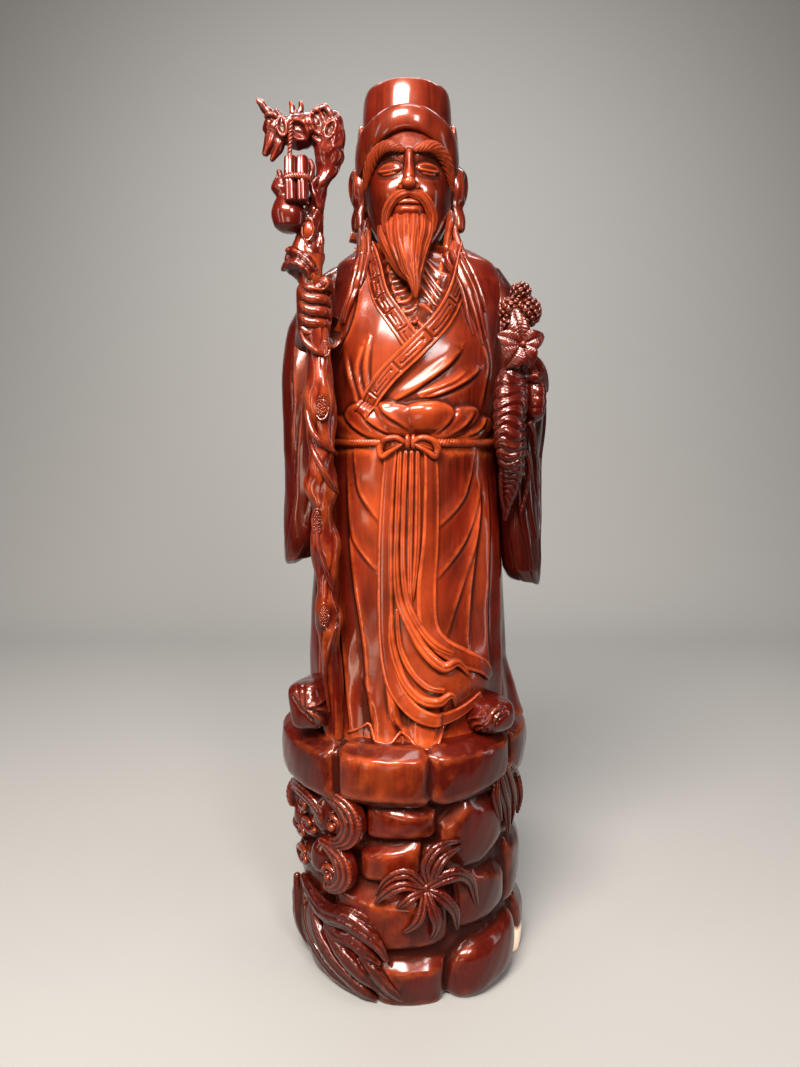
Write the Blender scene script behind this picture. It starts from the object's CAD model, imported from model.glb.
# %% [markdown]
# # A physician carved in rosewood
# The figure stands on a drum of rocks, with a dragon-headed staff in one hand and a ginseng plant in the
# other. It is one log, so every piece made here stands for a region of the same carving and sinks a little
# into its neighbours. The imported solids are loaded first, because they fix the size and the place of all.

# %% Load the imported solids
import math

import bmesh
import bpy
import numpy as np
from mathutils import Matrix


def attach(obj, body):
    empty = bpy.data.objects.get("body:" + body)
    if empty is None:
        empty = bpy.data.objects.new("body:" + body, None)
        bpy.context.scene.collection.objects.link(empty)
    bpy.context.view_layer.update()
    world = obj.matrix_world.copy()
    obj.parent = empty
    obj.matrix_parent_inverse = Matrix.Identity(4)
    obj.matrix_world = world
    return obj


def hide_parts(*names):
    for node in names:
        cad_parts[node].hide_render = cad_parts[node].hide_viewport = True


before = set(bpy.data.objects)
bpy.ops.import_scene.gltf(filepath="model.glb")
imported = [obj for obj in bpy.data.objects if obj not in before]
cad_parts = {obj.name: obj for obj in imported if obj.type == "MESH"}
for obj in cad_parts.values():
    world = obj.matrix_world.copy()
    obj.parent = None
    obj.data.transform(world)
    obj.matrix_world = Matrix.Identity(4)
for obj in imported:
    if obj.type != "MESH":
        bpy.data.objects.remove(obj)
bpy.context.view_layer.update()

# %% [markdown]
# ## Camera
# The photograph was taken with a wide lens, a little above the waist and tilted down a few degrees. The
# same camera comes first, because every piece is compared with the photograph through it.

# %% Camera
CAMERA_PLACE = (-0.0093, -0.894, 0.598)
CAMERA_PITCH = 6.3
LENS = 36 * 770 / 1067

camera_data = bpy.data.cameras.new("camera")
camera_data.lens = LENS
camera_data.sensor_width = 36
camera_data.clip_start = 0.01
camera = bpy.data.objects.new("camera", camera_data)
camera.location = CAMERA_PLACE
camera.rotation_euler = (math.radians(90 - CAMERA_PITCH), 0, 0)
bpy.context.collection.objects.link(camera)
bpy.context.scene.camera = camera
print("lens", round(camera_data.lens, 2), "mm")

# %% [markdown]
# ## Smooth lines through key rows
# A carver marks a few stations on the log and fairs the shape between them. The same is done here: a limb
# or a garment is a short table of rows, and a smooth curve runs through every row. Numpy works on all the
# vertices at once, which keeps the whole script within seconds.

# %% Key rows
MM = 0.001
TURN = 2 * math.pi


def along(rows, share):
    """Values at each share, 0 to 1, of the way through key rows."""
    rows = np.asarray(rows, float)
    place = np.clip(share, 0, 1) * (len(rows) - 1)
    first = np.minimum(place.astype(int), len(rows) - 2)
    f = (place - first)[..., None]
    a, b = rows[first], rows[first + 1]
    before = rows[np.maximum(first - 1, 0)]
    after = rows[np.minimum(first + 2, len(rows) - 1)]
    bend = 2 * before - 5 * a + 4 * b - after
    return a + 0.5 * f * (b - before + f * (bend + f * (3 * (a - b) + after - before)))


def at_height(rows, height):
    """Values at each height, for rows that start with their own height."""
    rows = np.asarray(rows, float)
    levels = rows[:, 0]
    height = np.clip(height, levels[0], levels[-1])
    first = np.clip(np.searchsorted(levels, height, side="right") - 1, 0, len(rows) - 2)
    share = (height - levels[first]) / (levels[first + 1] - levels[first])
    return along(rows, (first + share) / (len(rows) - 1))[..., 1:]


def superellipse(angle, power):
    """A round section at power 2, and a squarer one above it."""
    c, s = np.cos(angle), np.sin(angle)
    size = (abs(c) ** power + abs(s) ** power) ** (-1 / power)
    return c * size, s * size


def unit(vectors):
    """Vectors of length one."""
    return vectors / np.maximum(np.linalg.norm(vectors, axis=-1, keepdims=True), 1e-9)


def step(value, low, high):
    """0 below low, 1 above high, and a soft rise between."""
    t = np.clip((value - low) / (high - low), 0, 1)
    return t * t * (3 - 2 * t)


print("halfway through 0, 10, 0:", along([[0], [10], [0]], np.array([0.5])))

# %% [markdown]
# ## From a flat grid to a closed skin
# A grid is like a sheet of rubber: rolled round it becomes a tube, and its two open ends are drawn to a
# point. A function says where every vertex of the sheet goes, and the doubled vertices at the seam and
# the tips are merged when the piece is finished.

# %% Skins, limbs and lumps


def skin(bm, place, round_count, long_count):
    """A closed skin: u runs round it and v from end to end, and place(u, v) gives the points in mm."""
    made = bmesh.ops.create_grid(bm, x_segments=round_count, y_segments=long_count, size=0.5)["verts"]
    flat = np.array([vertex.co[:] for vertex in made]) + 0.5
    for vertex, point in zip(made, place(flat[:, 0], flat[:, 1])):
        vertex.co = point
    return made


def closing(v, share):
    """How full a section is: 0 at the very ends, 1 past the rounded tips."""
    nearness = np.clip(np.minimum(v, 1 - v) / share, 0, 1)
    return np.sqrt(np.maximum(1 - (1 - nearness) ** 2, 0))


def outwards(points):
    """Away from the upright axis."""
    return unit(points * (1, 1, 0))


def forwards(points):
    """Towards the viewer."""
    return np.tile((0.0, -1.0, 0.0), (len(points), 1))


def upwards(points):
    """Towards the sky."""
    return np.tile((0.0, 0.0, 1.0), (len(points), 1))


def limb(bm, rows, facing=outwards, sides=20, steps=60, square=2, tip=0.05, carved=None):
    """A section carried along rows of [x, y, z, half width, half thickness], or along a function."""
    path = rows if callable(rows) else lambda share: along(rows, share)

    def place(u, v):
        row = path(v)[:, :5]
        middle = row[:, :3]
        ahead = unit(path(np.minimum(v + 0.004, 1))[:, :3] - path(np.maximum(v - 0.004, 0))[:, :3])
        out = facing(middle)
        out = unit(out - ahead * (out * ahead).sum(1)[:, None])
        side = np.cross(ahead, out)
        c, s = superellipse(TURN * u, square)
        full = closing(v, tip)
        more = carved(c, s, v) if carved else 0
        sideways = side * (c * full * (row[:, 3] + more))[:, None]
        return middle + sideways + out * (s * full * (row[:, 4] + more))[:, None]

    return skin(bm, place, sides, steps)


def barrel(bm, rows, sides=60, steps=60, square=2, tip=0.03, swell=None):
    """Upright sections: rows of [z, centre x, centre y, half width, half depth]."""

    def place(u, v):
        z = rows[0][0] + (rows[-1][0] - rows[0][0]) * v
        cx, cy, half, deep = at_height(rows, z).T
        c, s = superellipse(TURN * u, square)
        more = swell(TURN * u, z) if swell else 0
        full = closing(v, tip)
        return np.stack([cx + c * (half + more) * full, cy + s * (deep + more) * full, z], axis=1)

    return skin(bm, place, sides, steps)


def lump(bm, middle, halves, power=2.0, turn=(0, 0, 0), fine=4, shaped=None):
    """A rounded lump: an ellipsoid at power 2, a soft box above it, turned by degrees about x, y and z."""
    made = bmesh.ops.create_icosphere(bm, subdivisions=fine, radius=1)["verts"]
    points = np.array([vertex.co[:] for vertex in made])
    points /= (abs(points) ** power).sum(1)[:, None] ** (1 / power)
    if shaped:
        points = shaped(points)
    points = points * halves @ turning(turn).T + middle
    for vertex, point in zip(made, points):
        vertex.co = point
    return made


def turning(turn):
    """The matrix of turns about x, then y, then z, in degrees."""
    (cx, cy, cz), (sx, sy, sz) = np.cos(np.radians(turn)), np.sin(np.radians(turn))
    about_x = np.array([[1, 0, 0], [0, cx, -sx], [0, sx, cx]])
    about_y = np.array([[cy, 0, sy], [0, 1, 0], [-sy, 0, cy]])
    about_z = np.array([[cz, -sz, 0], [sz, cz, 0], [0, 0, 1]])
    return about_z @ about_y @ about_x


def mirrored(rows, side):
    """The same rows on one side of the middle (1) or on the other (-1)."""
    return [[side * row[0], *row[1:]] for row in rows]


print("ready to carve")

# %% [markdown]
# ## Folds as raised welts
# Carved cloth shows its folds as welts: a soft slope on one side, and a sharp drop with a cut under it on
# the other. A welt is worked out from the distance to a path drawn on the cloth, and the vertices near it
# are pushed out along their normals. That keeps the folds crisp without any more pieces.

# %% Welts


def welt(points, path, high, soft, sharp, cut=0.0, middle=(5, 0)):
    """Height in mm of a fold: soft slope on the path's left, sharp drop and a cut on its right."""
    lift = np.zeros(len(points))
    reach = 2.5 * max(soft, sharp)
    near = np.all((points > path.min(0) - reach) & (points < path.max(0) + reach), axis=1)
    if not near.any():
        return lift
    local = points[near]
    nearest = ((local[:, None, :] - path[None]) ** 2).sum(2).argmin(1)
    ahead = unit(np.gradient(path, axis=0))[nearest]
    away = local - path[nearest]
    slip = np.clip((away * ahead).sum(1), -3, 3)
    distance = np.sqrt(np.maximum((away**2).sum(1) - slip**2, 0))
    out = (local - (*middle, 0)) * (1, 1, 0)
    side = (np.cross(ahead, away) * out).sum(1)
    share = nearest / (len(path) - 1)
    fade = np.sin(np.pi * np.clip(share, 0.02, 0.98)) ** 0.6
    width = np.where(side > 0, soft, sharp)
    lift[near] = high * fade * np.exp(-((distance / width) ** 2))
    under = np.where(side > 0, 0, np.exp(-(((distance - 1.6 * sharp) / sharp) ** 2)))
    lift[near] -= cut * fade * under
    return lift


def waves(points, sizes, deep):
    """Gentle unevenness, such as a gouge and a scraper leave: sums of slanted waves of a few sizes."""
    total = np.zeros(len(points))
    for i, size in enumerate(sizes):
        way = unit(np.array([math.sin(3.1 * i + 1), math.cos(2.3 * i), math.sin(1.7 * i + 0.4)]))
        across = unit(np.cross(way, (0.3, 0.2, 0.9)))
        total += np.sin(points @ way * TURN / size + i) * np.sin(points @ across * TURN / size + 2 * i)
    return total * deep / len(sizes)


print("welts ready")

# %% [markdown]
# ## Finishing a piece
# A group of overlapping lumps is turned into one skin by the Remesh modifier, which fills the space with
# small cubes and wraps their outside, much as carving leaves one surface. Each vertex then stores four
# numbers for the lacquer: how deep it lies in a hollow, how far it stands out on a ridge, how thin the
# stain is there and how dull the varnish. The spots where stain is rubbed thin are listed by x, z, half
# width, half height and share. Last, the Decimate modifier drops the points that say least, so flat wood
# costs few triangles and fine cuts keep theirs.

# %% Finishing


def numbers(collection, name, width=3):
    """One property of all the items of a mesh, as a table."""
    values = np.empty(len(collection) * width, np.float32)
    collection.foreach_get(name, values)
    return values.reshape(-1, width).astype(float)


def averaged(points, edges, rounds):
    """Points moved towards the middle of their neighbours, over and over."""
    count = len(points)
    ends = np.concatenate([edges[:, 0], edges[:, 1]])
    others = np.concatenate([edges[:, 1], edges[:, 0]])
    order = np.bincount(ends, minlength=count)[:, None]
    for _ in range(rounds):
        sums = np.stack([np.bincount(ends, points[others, k], count) for k in range(3)], axis=1)
        points = 0.4 * points + 0.6 * sums / np.maximum(order, 1)
    return points


NEAR_ROUNDS, WIDE_ROUNDS = 6, 34
RUBBED_SPOTS = [
    (-6, 690, 52, 50, 0.5),
    (-38, 545, 15, 60, 0.5),
    (4, 480, 22, 110, 0.3),
    (76, 470, 10, 90, 0.42),
    (10, 350, 45, 60, 0.32),
    (-38, 262, 36, 26, 0.68),
    (-26, 110, 32, 90, 0.3),
]


def mark_wear(mesh, worn, dull):
    """Stores hollow and ridge in mm on every vertex, how thin the stain is, and how dull the varnish."""
    points = numbers(mesh.vertices, "co")
    normals = numbers(mesh.vertex_normals, "vector")
    edges = numbers(mesh.edges, "vertices", 2).astype(int)
    near = averaged(points, edges, NEAR_ROUNDS)
    wide = averaged(near, edges, WIDE_ROUNDS)
    across, height = points[:, 0] / MM, points[:, 2] / MM
    facing = step(-normals[:, 1], 0.1, 0.9)
    thin = worn + 0.12 * np.exp(-(((across - 4) / 55) ** 2)) * facing
    for x, z, half, high, share in RUBBED_SPOTS:
        thin += share * facing * np.exp(-(((across - x) / half) ** 2) - ((height - z) / high) ** 2)
    ridge = ((points - near) * normals).sum(1) / MM
    hollow = ((wide - points) * normals).sum(1) / MM
    for name, values in (("ridge", ridge), ("hollow", hollow), ("thin", thin), ("dull", dull + 0 * thin)):
        layer = mesh.attributes.new(name, "FLOAT", "POINT")
        layer.data.foreach_set("value", values.astype(np.float32))


KEPT_SHARE = 0.48


def settled(piece):
    """Makes the outcome of a piece's modifiers its own mesh."""
    seen = piece.evaluated_get(bpy.context.evaluated_depsgraph_get())
    piece.data = bpy.data.meshes.new_from_object(seen)
    piece.modifiers.clear()
    return piece.data


pieces = []


def carve(name, bm, voxel=None, soften=0, relief=None, last=None, worn=0.0, dull=0.0):
    """Finishes a bmesh in mm: closed, remeshed, softened, cut by relief, trued by last, and thinned."""
    bmesh.ops.remove_doubles(bm, verts=bm.verts, dist=0.004)
    bmesh.ops.recalc_face_normals(bm, faces=bm.faces)
    bmesh.ops.scale(bm, vec=(MM, MM, MM), verts=bm.verts)
    mesh = bpy.data.meshes.new(name)
    bm.to_mesh(mesh)
    bm.free()
    piece = bpy.data.objects.new(name, mesh)
    bpy.context.collection.objects.link(piece)
    if voxel:
        remesh = piece.modifiers.new("remesh", "REMESH")
        remesh.mode = "VOXEL"
        remesh.voxel_size = voxel * MM
    if soften:
        smooth = piece.modifiers.new("smooth", "SMOOTH")
        smooth.factor = 0.5
        smooth.iterations = soften
    if voxel or soften:
        mesh = settled(piece)
    if relief or last:
        points = numbers(mesh.vertices, "co") / MM
        normals = numbers(mesh.vertex_normals, "vector")
        if relief:
            points += normals * relief(points, normals)[:, None]
        if last:
            last(points)
        mesh.vertices.foreach_set("co", (points * MM).astype(np.float32).ravel())
        mesh.update()
    mesh.shade_smooth()
    mark_wear(mesh, worn, dull)
    thinning = piece.modifiers.new("thinning", "DECIMATE")
    thinning.ratio = KEPT_SHARE
    mesh = settled(piece)
    mesh.name = name
    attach(piece, "root")
    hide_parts("physician_carving")
    pieces.append(piece)
    triangles = len(mesh.loops) - 2 * len(mesh.polygons)
    print(f"{name}: {triangles} triangles")
    return piece


print("finishing ready")

# %% [markdown]
# ## The robe
# The robe is a barrel that narrows to the belt, blouses over it in soft swags, and rounds off to the
# shoulders. It is made in two skins that meet under the belt, because one skin fine enough for the folds
# would be too heavy. The same formula gives a point on the cloth for everything that lies on it.

# %% Robe sections
BELT_Z = 604
ROBE = [
    [282, 0, -6, 107, 110],
    [325, 0, -4, 112, 102],
    [380, -1, -1, 113, 95],
    [470, 0, 1, 109, 87],
    [560, 3, 1, 101, 84],
    [BELT_Z, 5, 1, 96, 83],
    [640, 6, 0, 98, 87],
    [700, 8, 1, 102, 85],
    [750, 9, 4, 102, 76],
    [782, 9, 7, 98, 67],
    [803, 8, 8, 88, 58],
    [816, 6, 9, 68, 48],
    [826, 3, 9, 44, 40],
]
ROBE_SQUARE = 2.15


def on_section(rows, square, x, z, side=-1):
    """Points on the front (side -1) or back of a garment, and the way out of the cloth there."""
    cx, cy, half, deep = at_height(rows, z).T
    u = np.clip((x - cx) / half, -0.985, 0.985)
    y = cy + side * deep * (1 - abs(u) ** square) ** (1 / square)
    out = unit(np.stack([u / half, (y - cy) / deep**2, 0 * u], axis=1))
    return np.stack([cx + u * half, y, z], axis=1), out


def drawn(rows, square, path, side=-1, count=60):
    """A path of [x, z] laid on a garment, as a run of points."""
    x, z = along(path, np.linspace(0, 1, count)).T
    return on_section(rows, square, x, z, side)[0]


print("robe half width at the belt", at_height(ROBE, np.array([BELT_Z]))[0, 2])

# %% [markdown]
# ## Folds of the skirt
# The skirt hangs from the belt. Long curved folds run from the hips towards the middle, the cloth swings
# out in flutes at the hem, and one knee pushes it forward. Each fold is a path of x and z read off the
# front view, with its height and the widths of its two slopes.

# %% Skirt
SKIRT_FOLDS = [
    ([(-58, 600), (-52, 552), (-28, 518)], 1.7, 9, 1.7),
    ([(-64, 560), (-58, 502), (-32, 466)], 1.7, 10, 1.7),
    ([(-66, 596), (-63, 520), (-58, 458), (-49, 400), (-45, 364), (-38, 295)], 2.6, 12, 2.0),
    ([(-80, 590), (-79, 500), (-74, 420), (-66, 340), (-62, 290)], 2.6, 12, 2.2),
    ([(-48, 356), (-43, 334), (-41, 308)], 2.6, 6, 1.6),
    ([(-24, 356), (-21, 334), (-18, 316), (-10, 305)], 3.0, 6, 1.6),
    ([(-17, 334), (-13, 314), (0, 292)], 3.2, 7, 1.6),
    ([(-8, 336), (4, 318), (19, 311), (30, 308)], 3.4, 7, 1.6),
    ([(38, 330), (35, 312), (32, 296), (25, 287)], 3.0, 6, 1.6),
    ([(30, 514), (58, 545), (71, 590)], 1.7, 9, 1.7),
    ([(28, 458), (60, 500), (77, 556)], 1.7, 10, 1.7),
    ([(38, 393), (58, 455), (72, 500), (79, 552)], 1.8, 9, 1.8),
    ([(62, 384), (66, 440), (75, 520), (76, 560)], 2.6, 10, 2.2),
    ([(84, 350), (86, 420), (88, 500), (86, 560)], 2.0, 10, 2.2),
    ([(-96, 580), (-100, 470), (-98, 380), (-98, 300)], 2.4, 12, 3.0),
    ([(101, 300), (103, 380), (101, 470), (96, 575)], 2.4, 12, 3.0),
]
BACK_FOLDS = [
    ([(-70, 590), (-64, 500), (-30, 440)], 2.2, 12, 2.2),
    ([(36, 450), (66, 510), (74, 590)], 2.2, 12, 2.2),
    ([(-50, 420), (-44, 360), (-40, 290)], 2.4, 12, 2.4),
    ([(10, 470), (4, 400), (6, 290)], 2.4, 12, 2.4),
    ([(52, 420), (58, 360), (56, 290)], 2.4, 12, 2.4),
]
HEM = [
    (-110, 296), (-82, 287), (-66, 295), (-53, 301), (-42, 309), (-38, 293), (-28, 290), (-20, 290),
    (-14, 293), (-10, 303), (-6, 301), (1, 296), (8, 287), (18, 285), (29, 286), (34, 300), (39, 308),
    (54, 310), (62, 318), (80, 320), (110, 318),
]


def hem_height(x):
    """Height of the front hem's lip."""
    across, lip = np.array(HEM, float).T
    near = [np.interp(x + shift, across, lip) for shift in (-4, -2, 0, 2, 4)]
    return sum(near) / len(near)


def skirt_relief(points, normals=None):
    """Flutes, the front hem's wave, the knee, the spread over one foot, and the folds."""
    x, y, z = points.T
    angle = np.arctan2(y, x)
    front = step(-y, 10, 50)
    low = np.clip((470 - z) / 180, 0, 1)
    fluted = 6 * low * np.cos(9 * angle + 0.8 * np.sin(2 * angle)) * (1 - front)
    wave = (294 - hem_height(x)) / 9
    fluted += 5.5 * np.clip(wave, -1, 1) * front * step(360 - z, 0, 60)
    knee = 12 * np.exp(-(((x - 52) / 34) ** 2) - ((z - 352) / 30) ** 2) * front
    flare = 25 * np.clip((356 - z) / 66, 0, 1) ** 1.3 * np.exp(-((angle / 0.55) ** 2))
    total = fluted + knee + flare + waves(points, (60, 34), 0.5)
    for side, folds in ((-1, SKIRT_FOLDS), (1, BACK_FOLDS)):
        for path, high, soft, sharp in folds:
            total += welt(points, drawn(ROBE, ROBE_SQUARE, path, side), high, soft, sharp, 0.9)
    return total


bm = bmesh.new()
barrel(bm, [row for row in ROBE if row[0] <= BELT_Z], sides=390, steps=176, square=ROBE_SQUARE, tip=0.004)
carve("robe_skirt", bm, relief=skirt_relief)

# %% [markdown]
# ## The bodice
# Above the belt the cloth is drawn in, so it pouches into swags with valleys between them, and pull folds
# run up from the belt to the side of the chest. Inside the crossed neck bands the shirt lies deeper. The
# swags are domes: taking the highest dome at each point leaves a sharp valley where two of them meet.

# %% Bodice
SWAGS = [
    (-66, 617, 24, 13, 5.5, -30),
    (-40, 625, 30, 16, 8, -26),
    (-14, 629, 30, 17, 8, -14),
    (18, 631, 30, 17, 9, 4),
    (48, 625, 29, 14, 7, 24),
    (72, 617, 22, 12, 5.5, 28),
]
CHEST_FOLDS = [
    ([(-20, 645), (6, 659), (29, 675), (44, 688), (54, 701)], 4.2, 8, 2.0),
    ([(8, 650), (26, 653), (46, 661), (63, 671), (75, 682)], 3.6, 8, 2.0),
    ([(12, 654), (31, 661), (46, 668), (60, 679)], 1.8, 5, 2.0),
    ([(-52, 640), (-56, 655), (-62, 677), (-66, 696)], 2.4, 6, 1.8),
    ([(-46, 650), (-51, 664), (-53, 683), (-47, 706)], 2.6, 6, 1.8),
    ([(-42, 655), (-44, 680), (-41, 712)], 2.2, 5, 1.8),
    ([(76, 640), (82, 668), (84, 690), (72, 722)], 2.2, 8, 2.2),
    ([(-56, 800), (-52, 760), (-60, 725), (-76, 696)], 1.8, 8, 2.2),
]
SWAG_CREASES = [
    ([(-67, 634), (-60, 626), (-46, 614), (-34, 609)], 2.0, 5, 1.6),
    ([(-48, 642), (-41, 630), (-26, 618), (-8, 611)], 2.6, 6, 1.6),
    ([(-30, 646), (-24, 636), (-10, 626), (2, 618)], 2.0, 5, 1.6),
    ([(26, 614), (35, 622), (42, 631), (46, 641)], 2.2, 5, 1.6),
    ([(40, 612), (52, 620), (60, 628), (66, 636)], 2.4, 5, 1.6),
    ([(58, 611), (70, 617), (77, 624), (82, 632)], 1.8, 5, 1.6),
]
BODICE_BACK = [
    ([(-60, 640), (-30, 700), (-40, 770)], 2.6, 12, 2.4),
    ([(0, 640), (10, 700), (4, 760)], 2.2, 12, 2.4),
    ([(58, 640), (40, 700), (50, 770)], 2.6, 12, 2.4),
]
NECK_LEFT = [(-38, 806), (-35, 786), (-28, 756), (-14, 731), (6, 702), (20, 682)]
NECK_RIGHT = [(56, 806), (54, 788), (47, 760), (32, 730), (6, 700), (-20, 674), (-39, 650)]


def line_at(path, z):
    """x of a path at a height."""
    ordered = sorted((p[1], p[0]) for p in path)
    return np.interp(z, [p[0] for p in ordered], [p[1] for p in ordered])


def bodice_relief(points, normals=None):
    """Swags over the belt, the deeper shirt inside the neck, and the folds."""
    x, y, z = points.T
    front = step(-y, 5, 30)
    domes = np.zeros(len(points))
    for cx, cz, half, high, out, lean in SWAGS:
        c, s = math.cos(math.radians(lean)), math.sin(math.radians(lean))
        u = ((x - cx) * c + (z - cz) * s) / half
        w = ((z - cz) * c - (x - cx) * s) / high
        domes = np.maximum(domes, out * np.clip(1 - u * u - abs(w) ** 2.6, 0, 1) ** 0.62)
    angle = np.arctan2(y, x)
    behind = (1 - front) * np.exp(-(((z - 626) / 14) ** 2)) * (4 + 2.5 * np.cos(13 * angle))
    inside = step(x, line_at(NECK_LEFT, z) + 4, line_at(NECK_LEFT, z) + 14)
    inside *= step(-x, -line_at(NECK_RIGHT, z) + 4, -line_at(NECK_RIGHT, z) + 14)
    shirt = front * inside * step(z, 700, 716)
    crumple = 1 - abs(np.sin(0.22 * abs(x - 8) + 0.2 * z + 1.1 * np.sin(0.17 * x + 0.06 * z)))
    total = domes * front + behind - shirt * (7 - 2.4 * crumple) + waves(points, (70, 38), 0.5)
    for side, folds in ((-1, CHEST_FOLDS + SWAG_CREASES), (1, BODICE_BACK)):
        for path, high, soft, sharp in folds:
            total += welt(points, drawn(ROBE, ROBE_SQUARE, path, side), high, soft, sharp, 1.2)
    return total


bm = bmesh.new()
barrel(bm, [row for row in ROBE if row[0] >= BELT_Z], sides=370, steps=160, square=ROBE_SQUARE, tip=0.01)
carve("robe_bodice", bm, relief=bodice_relief)

# %% [markdown]
# ## Lying on the cloth
# Bands, cords and locks of hair follow the robe, bumps and folds included. A row gives only x, z and a
# size, and the place in depth comes from the robe's own formula and relief, so they never float.

# %% Draped pieces


def cloth_at(x, z, side=-1):
    """Points on the carved robe, with its relief, and the way out."""
    points, out = on_section(ROBE, ROBE_SQUARE, x, z, side)
    relief = np.where(z > BELT_Z, bodice_relief(points), skirt_relief(points))
    return points + out * relief[:, None], out


def draped(bm, rows, side=-1, smooth=24, **how):
    """A band on the robe: rows of [x, z, half width, half thickness, lift off the cloth]."""
    share = np.linspace(0, 1, smooth)
    laid = along(rows, share)
    points, out = cloth_at(laid[:, 0], laid[:, 1], side)
    points += out * laid[:, 4:5]
    table = np.concatenate([points, laid[:, 2:4]], axis=1)
    return limb(bm, table, **how)


bm = bmesh.new()
print("a test band has", len(draped(bm, [[0, 500, 5, 2, 1], [0, 450, 5, 2, 1]])), "vertices")
bm.free()

# %% [markdown]
# ## Neck bands
# Two bands cross on the chest, with raised borders and a broken fret cut between them. The fret is a
# common one: cross cuts that part the band into panels, and two hooked cuts in each panel. It is carved
# by a function of how far across and along the band a vertex lies.

# %% Neck bands
PANELS = 6


def cut_line(distance, half):
    """1 on a cut and 0 beside it."""
    return np.clip(1.6 - 1.6 * abs(distance) / half, 0, 1)


def fret(c, s, t):
    """Borders that stand up at both edges of a band, and the fret cut between them."""
    c = np.where(s > 0, c, 9)
    border = 1.3 * (step(abs(c), 0.7, 0.76) - step(abs(c), 0.92, 0.98))
    border = border - cut_line(abs(c) - 0.62, 0.07)
    cell = (t * PANELS) % 1
    bars = cut_line(np.minimum(cell, 1 - cell), 0.045) * (abs(c) < 0.58)
    hooks = cut_line(c - 0.2, 0.09) * (cell > 0.16) * (cell < 0.66)
    hooks = np.maximum(hooks, cut_line(c + 0.2, 0.09) * (cell > 0.4) * (cell < 0.88))
    hooks = np.maximum(hooks, cut_line(cell - 0.16, 0.035) * (c > -0.05) * (c < 0.25))
    hooks = np.maximum(hooks, cut_line(cell - 0.88, 0.035) * (c > -0.25) * (c < 0.05))
    return border - 1.1 * np.maximum(bars, hooks) * (t < 0.93)


UNDER_BAND = [
    [-40, 812, 9, 3, 0], [-35, 786, 10, 3, 1], [-28, 756, 10, 3, 2], [-13, 731, 10, 3, 2],
    [6, 702, 9.5, 3, 0],
]
OVER_BAND = [
    [57, 812, 9, 3, 0], [54, 788, 10, 3, 1], [47, 760, 10.4, 3.4, 2.5], [32, 730, 10.4, 3.6, 4],
    [6, 700, 10.4, 3.6, 4], [-20, 674, 10.4, 3.4, 3], [-38, 650, 10, 3, 1], [-48, 630, 9, 2, -3],
]
SHIRT_EDGES = [
    [[-26, 806, 3, 3, -4], [-20, 770, 3.4, 3, -4], [-4, 738, 3.4, 3, -4], [12, 716, 3, 3, -5]],
    [[38, 806, 3, 3, -4], [34, 778, 3.4, 3, -4], [22, 748, 3.4, 3, -4], [8, 724, 3, 3, -5]],
]
SHIRT_PUCKERS = [(2, 722), (9, 718), (-4, 727), (14, 724), (6, 729), (3, 712)]
bm = bmesh.new()
for rows in (UNDER_BAND, OVER_BAND):
    draped(bm, rows, sides=64, steps=320, square=4, tip=0.01, smooth=40, carved=fret)
for rows in SHIRT_EDGES:
    draped(bm, rows, sides=16, steps=80, smooth=30)
for i, (x, z) in enumerate(SHIRT_PUCKERS):
    point = cloth_at(np.array([x]), np.array([z]))[0][0]
    lump(bm, point, (4, 3, 3), turn=(0, 40 * i, 0), fine=2)
carve("neck_bands", bm)

# %% [markdown]
# ## Belt and bow
# A twisted cord ties the robe, and its bow sits in the middle. The twist comes from a section with three
# lobes that turns as it runs round. The bow's loops are limbs laid on the cloth, with a grooved band inside
# each, and the knot is two small lumps.

# %% Belt and bow


BELT_TWISTS = 62


def belt_place(u, v):
    """A ring round the waist with a section of three lobes that turns as it goes."""
    angle = TURN * v
    section = TURN * u
    z = BELT_Z + 0 * angle
    cx, cy, half, deep = at_height(ROBE, z).T
    c, s = superellipse(angle, ROBE_SQUARE)
    size = 4.4 * (0.84 + 0.26 * abs(np.cos(1.5 * section - 1.5 * BELT_TWISTS * angle)))
    out = size * np.cos(section) + 1.5
    return np.stack([cx + c * (half + out), cy + s * (deep + out), z + size * np.sin(section)], axis=1)


def creased(c, s, t):
    """One broad cut down the middle."""
    return -0.8 * cut_line(c, 0.4) * (s > 0)


BOW_LOOP = [
    [3, 603, 2.3, 3, 8], [11, 609, 3, 3.6, 10], [22, 607, 3.2, 4, 9], [28.5, 598, 3.8, 4, 7],
    [26, 590, 3.8, 4, 6], [18, 595, 2.8, 3.6, 7], [5, 603, 2.3, 3, 8],
]
BOW_FOLD = [[6, 604, 2, 3, 6], [14, 603, 3.6, 3, 7], [25, 598, 3.6, 3, 3]]
bm = bmesh.new()
skin(bm, belt_place, 18, 900)
for side in (-1, 1):
    draped(bm, mirrored(BOW_LOOP, side), sides=16, steps=90, smooth=40)
    draped(bm, mirrored(BOW_FOLD, side), sides=16, steps=50, carved=creased)
for x, half in ((-2.6, 3.6), (3.6, 3.4)):
    point = cloth_at(np.array([x + 1.0]), np.array([BELT_Z + 1.0]))[0][0]
    lump(bm, point + (0, -6, 0), (half, 5.5, 8), power=2.3, fine=4)
carve("belt_and_bow", bm)

# %% [markdown]
# ## Sash ends
# Two flat bands with rolled edges fall from the knot, with six folded cords between them, and all sweep to
# one side over the knee. Each is laid on the cloth like the neck bands, and its lift alone says which one
# lies on top, as a carver sets one ribbon deeper than the next.

# %% Sash ends


def hollowed(c, s, t):
    """A band with rolled edges and a shallow trough between them."""
    return np.where(s > 0, 1.3 * step(abs(c), 0.62, 0.86) - 0.5, 0)


def grooved(c, s, t):
    """A folded cord with one cut down its middle."""
    return np.where(s > 0, -0.9 * cut_line(c, 0.3), 0)


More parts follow.
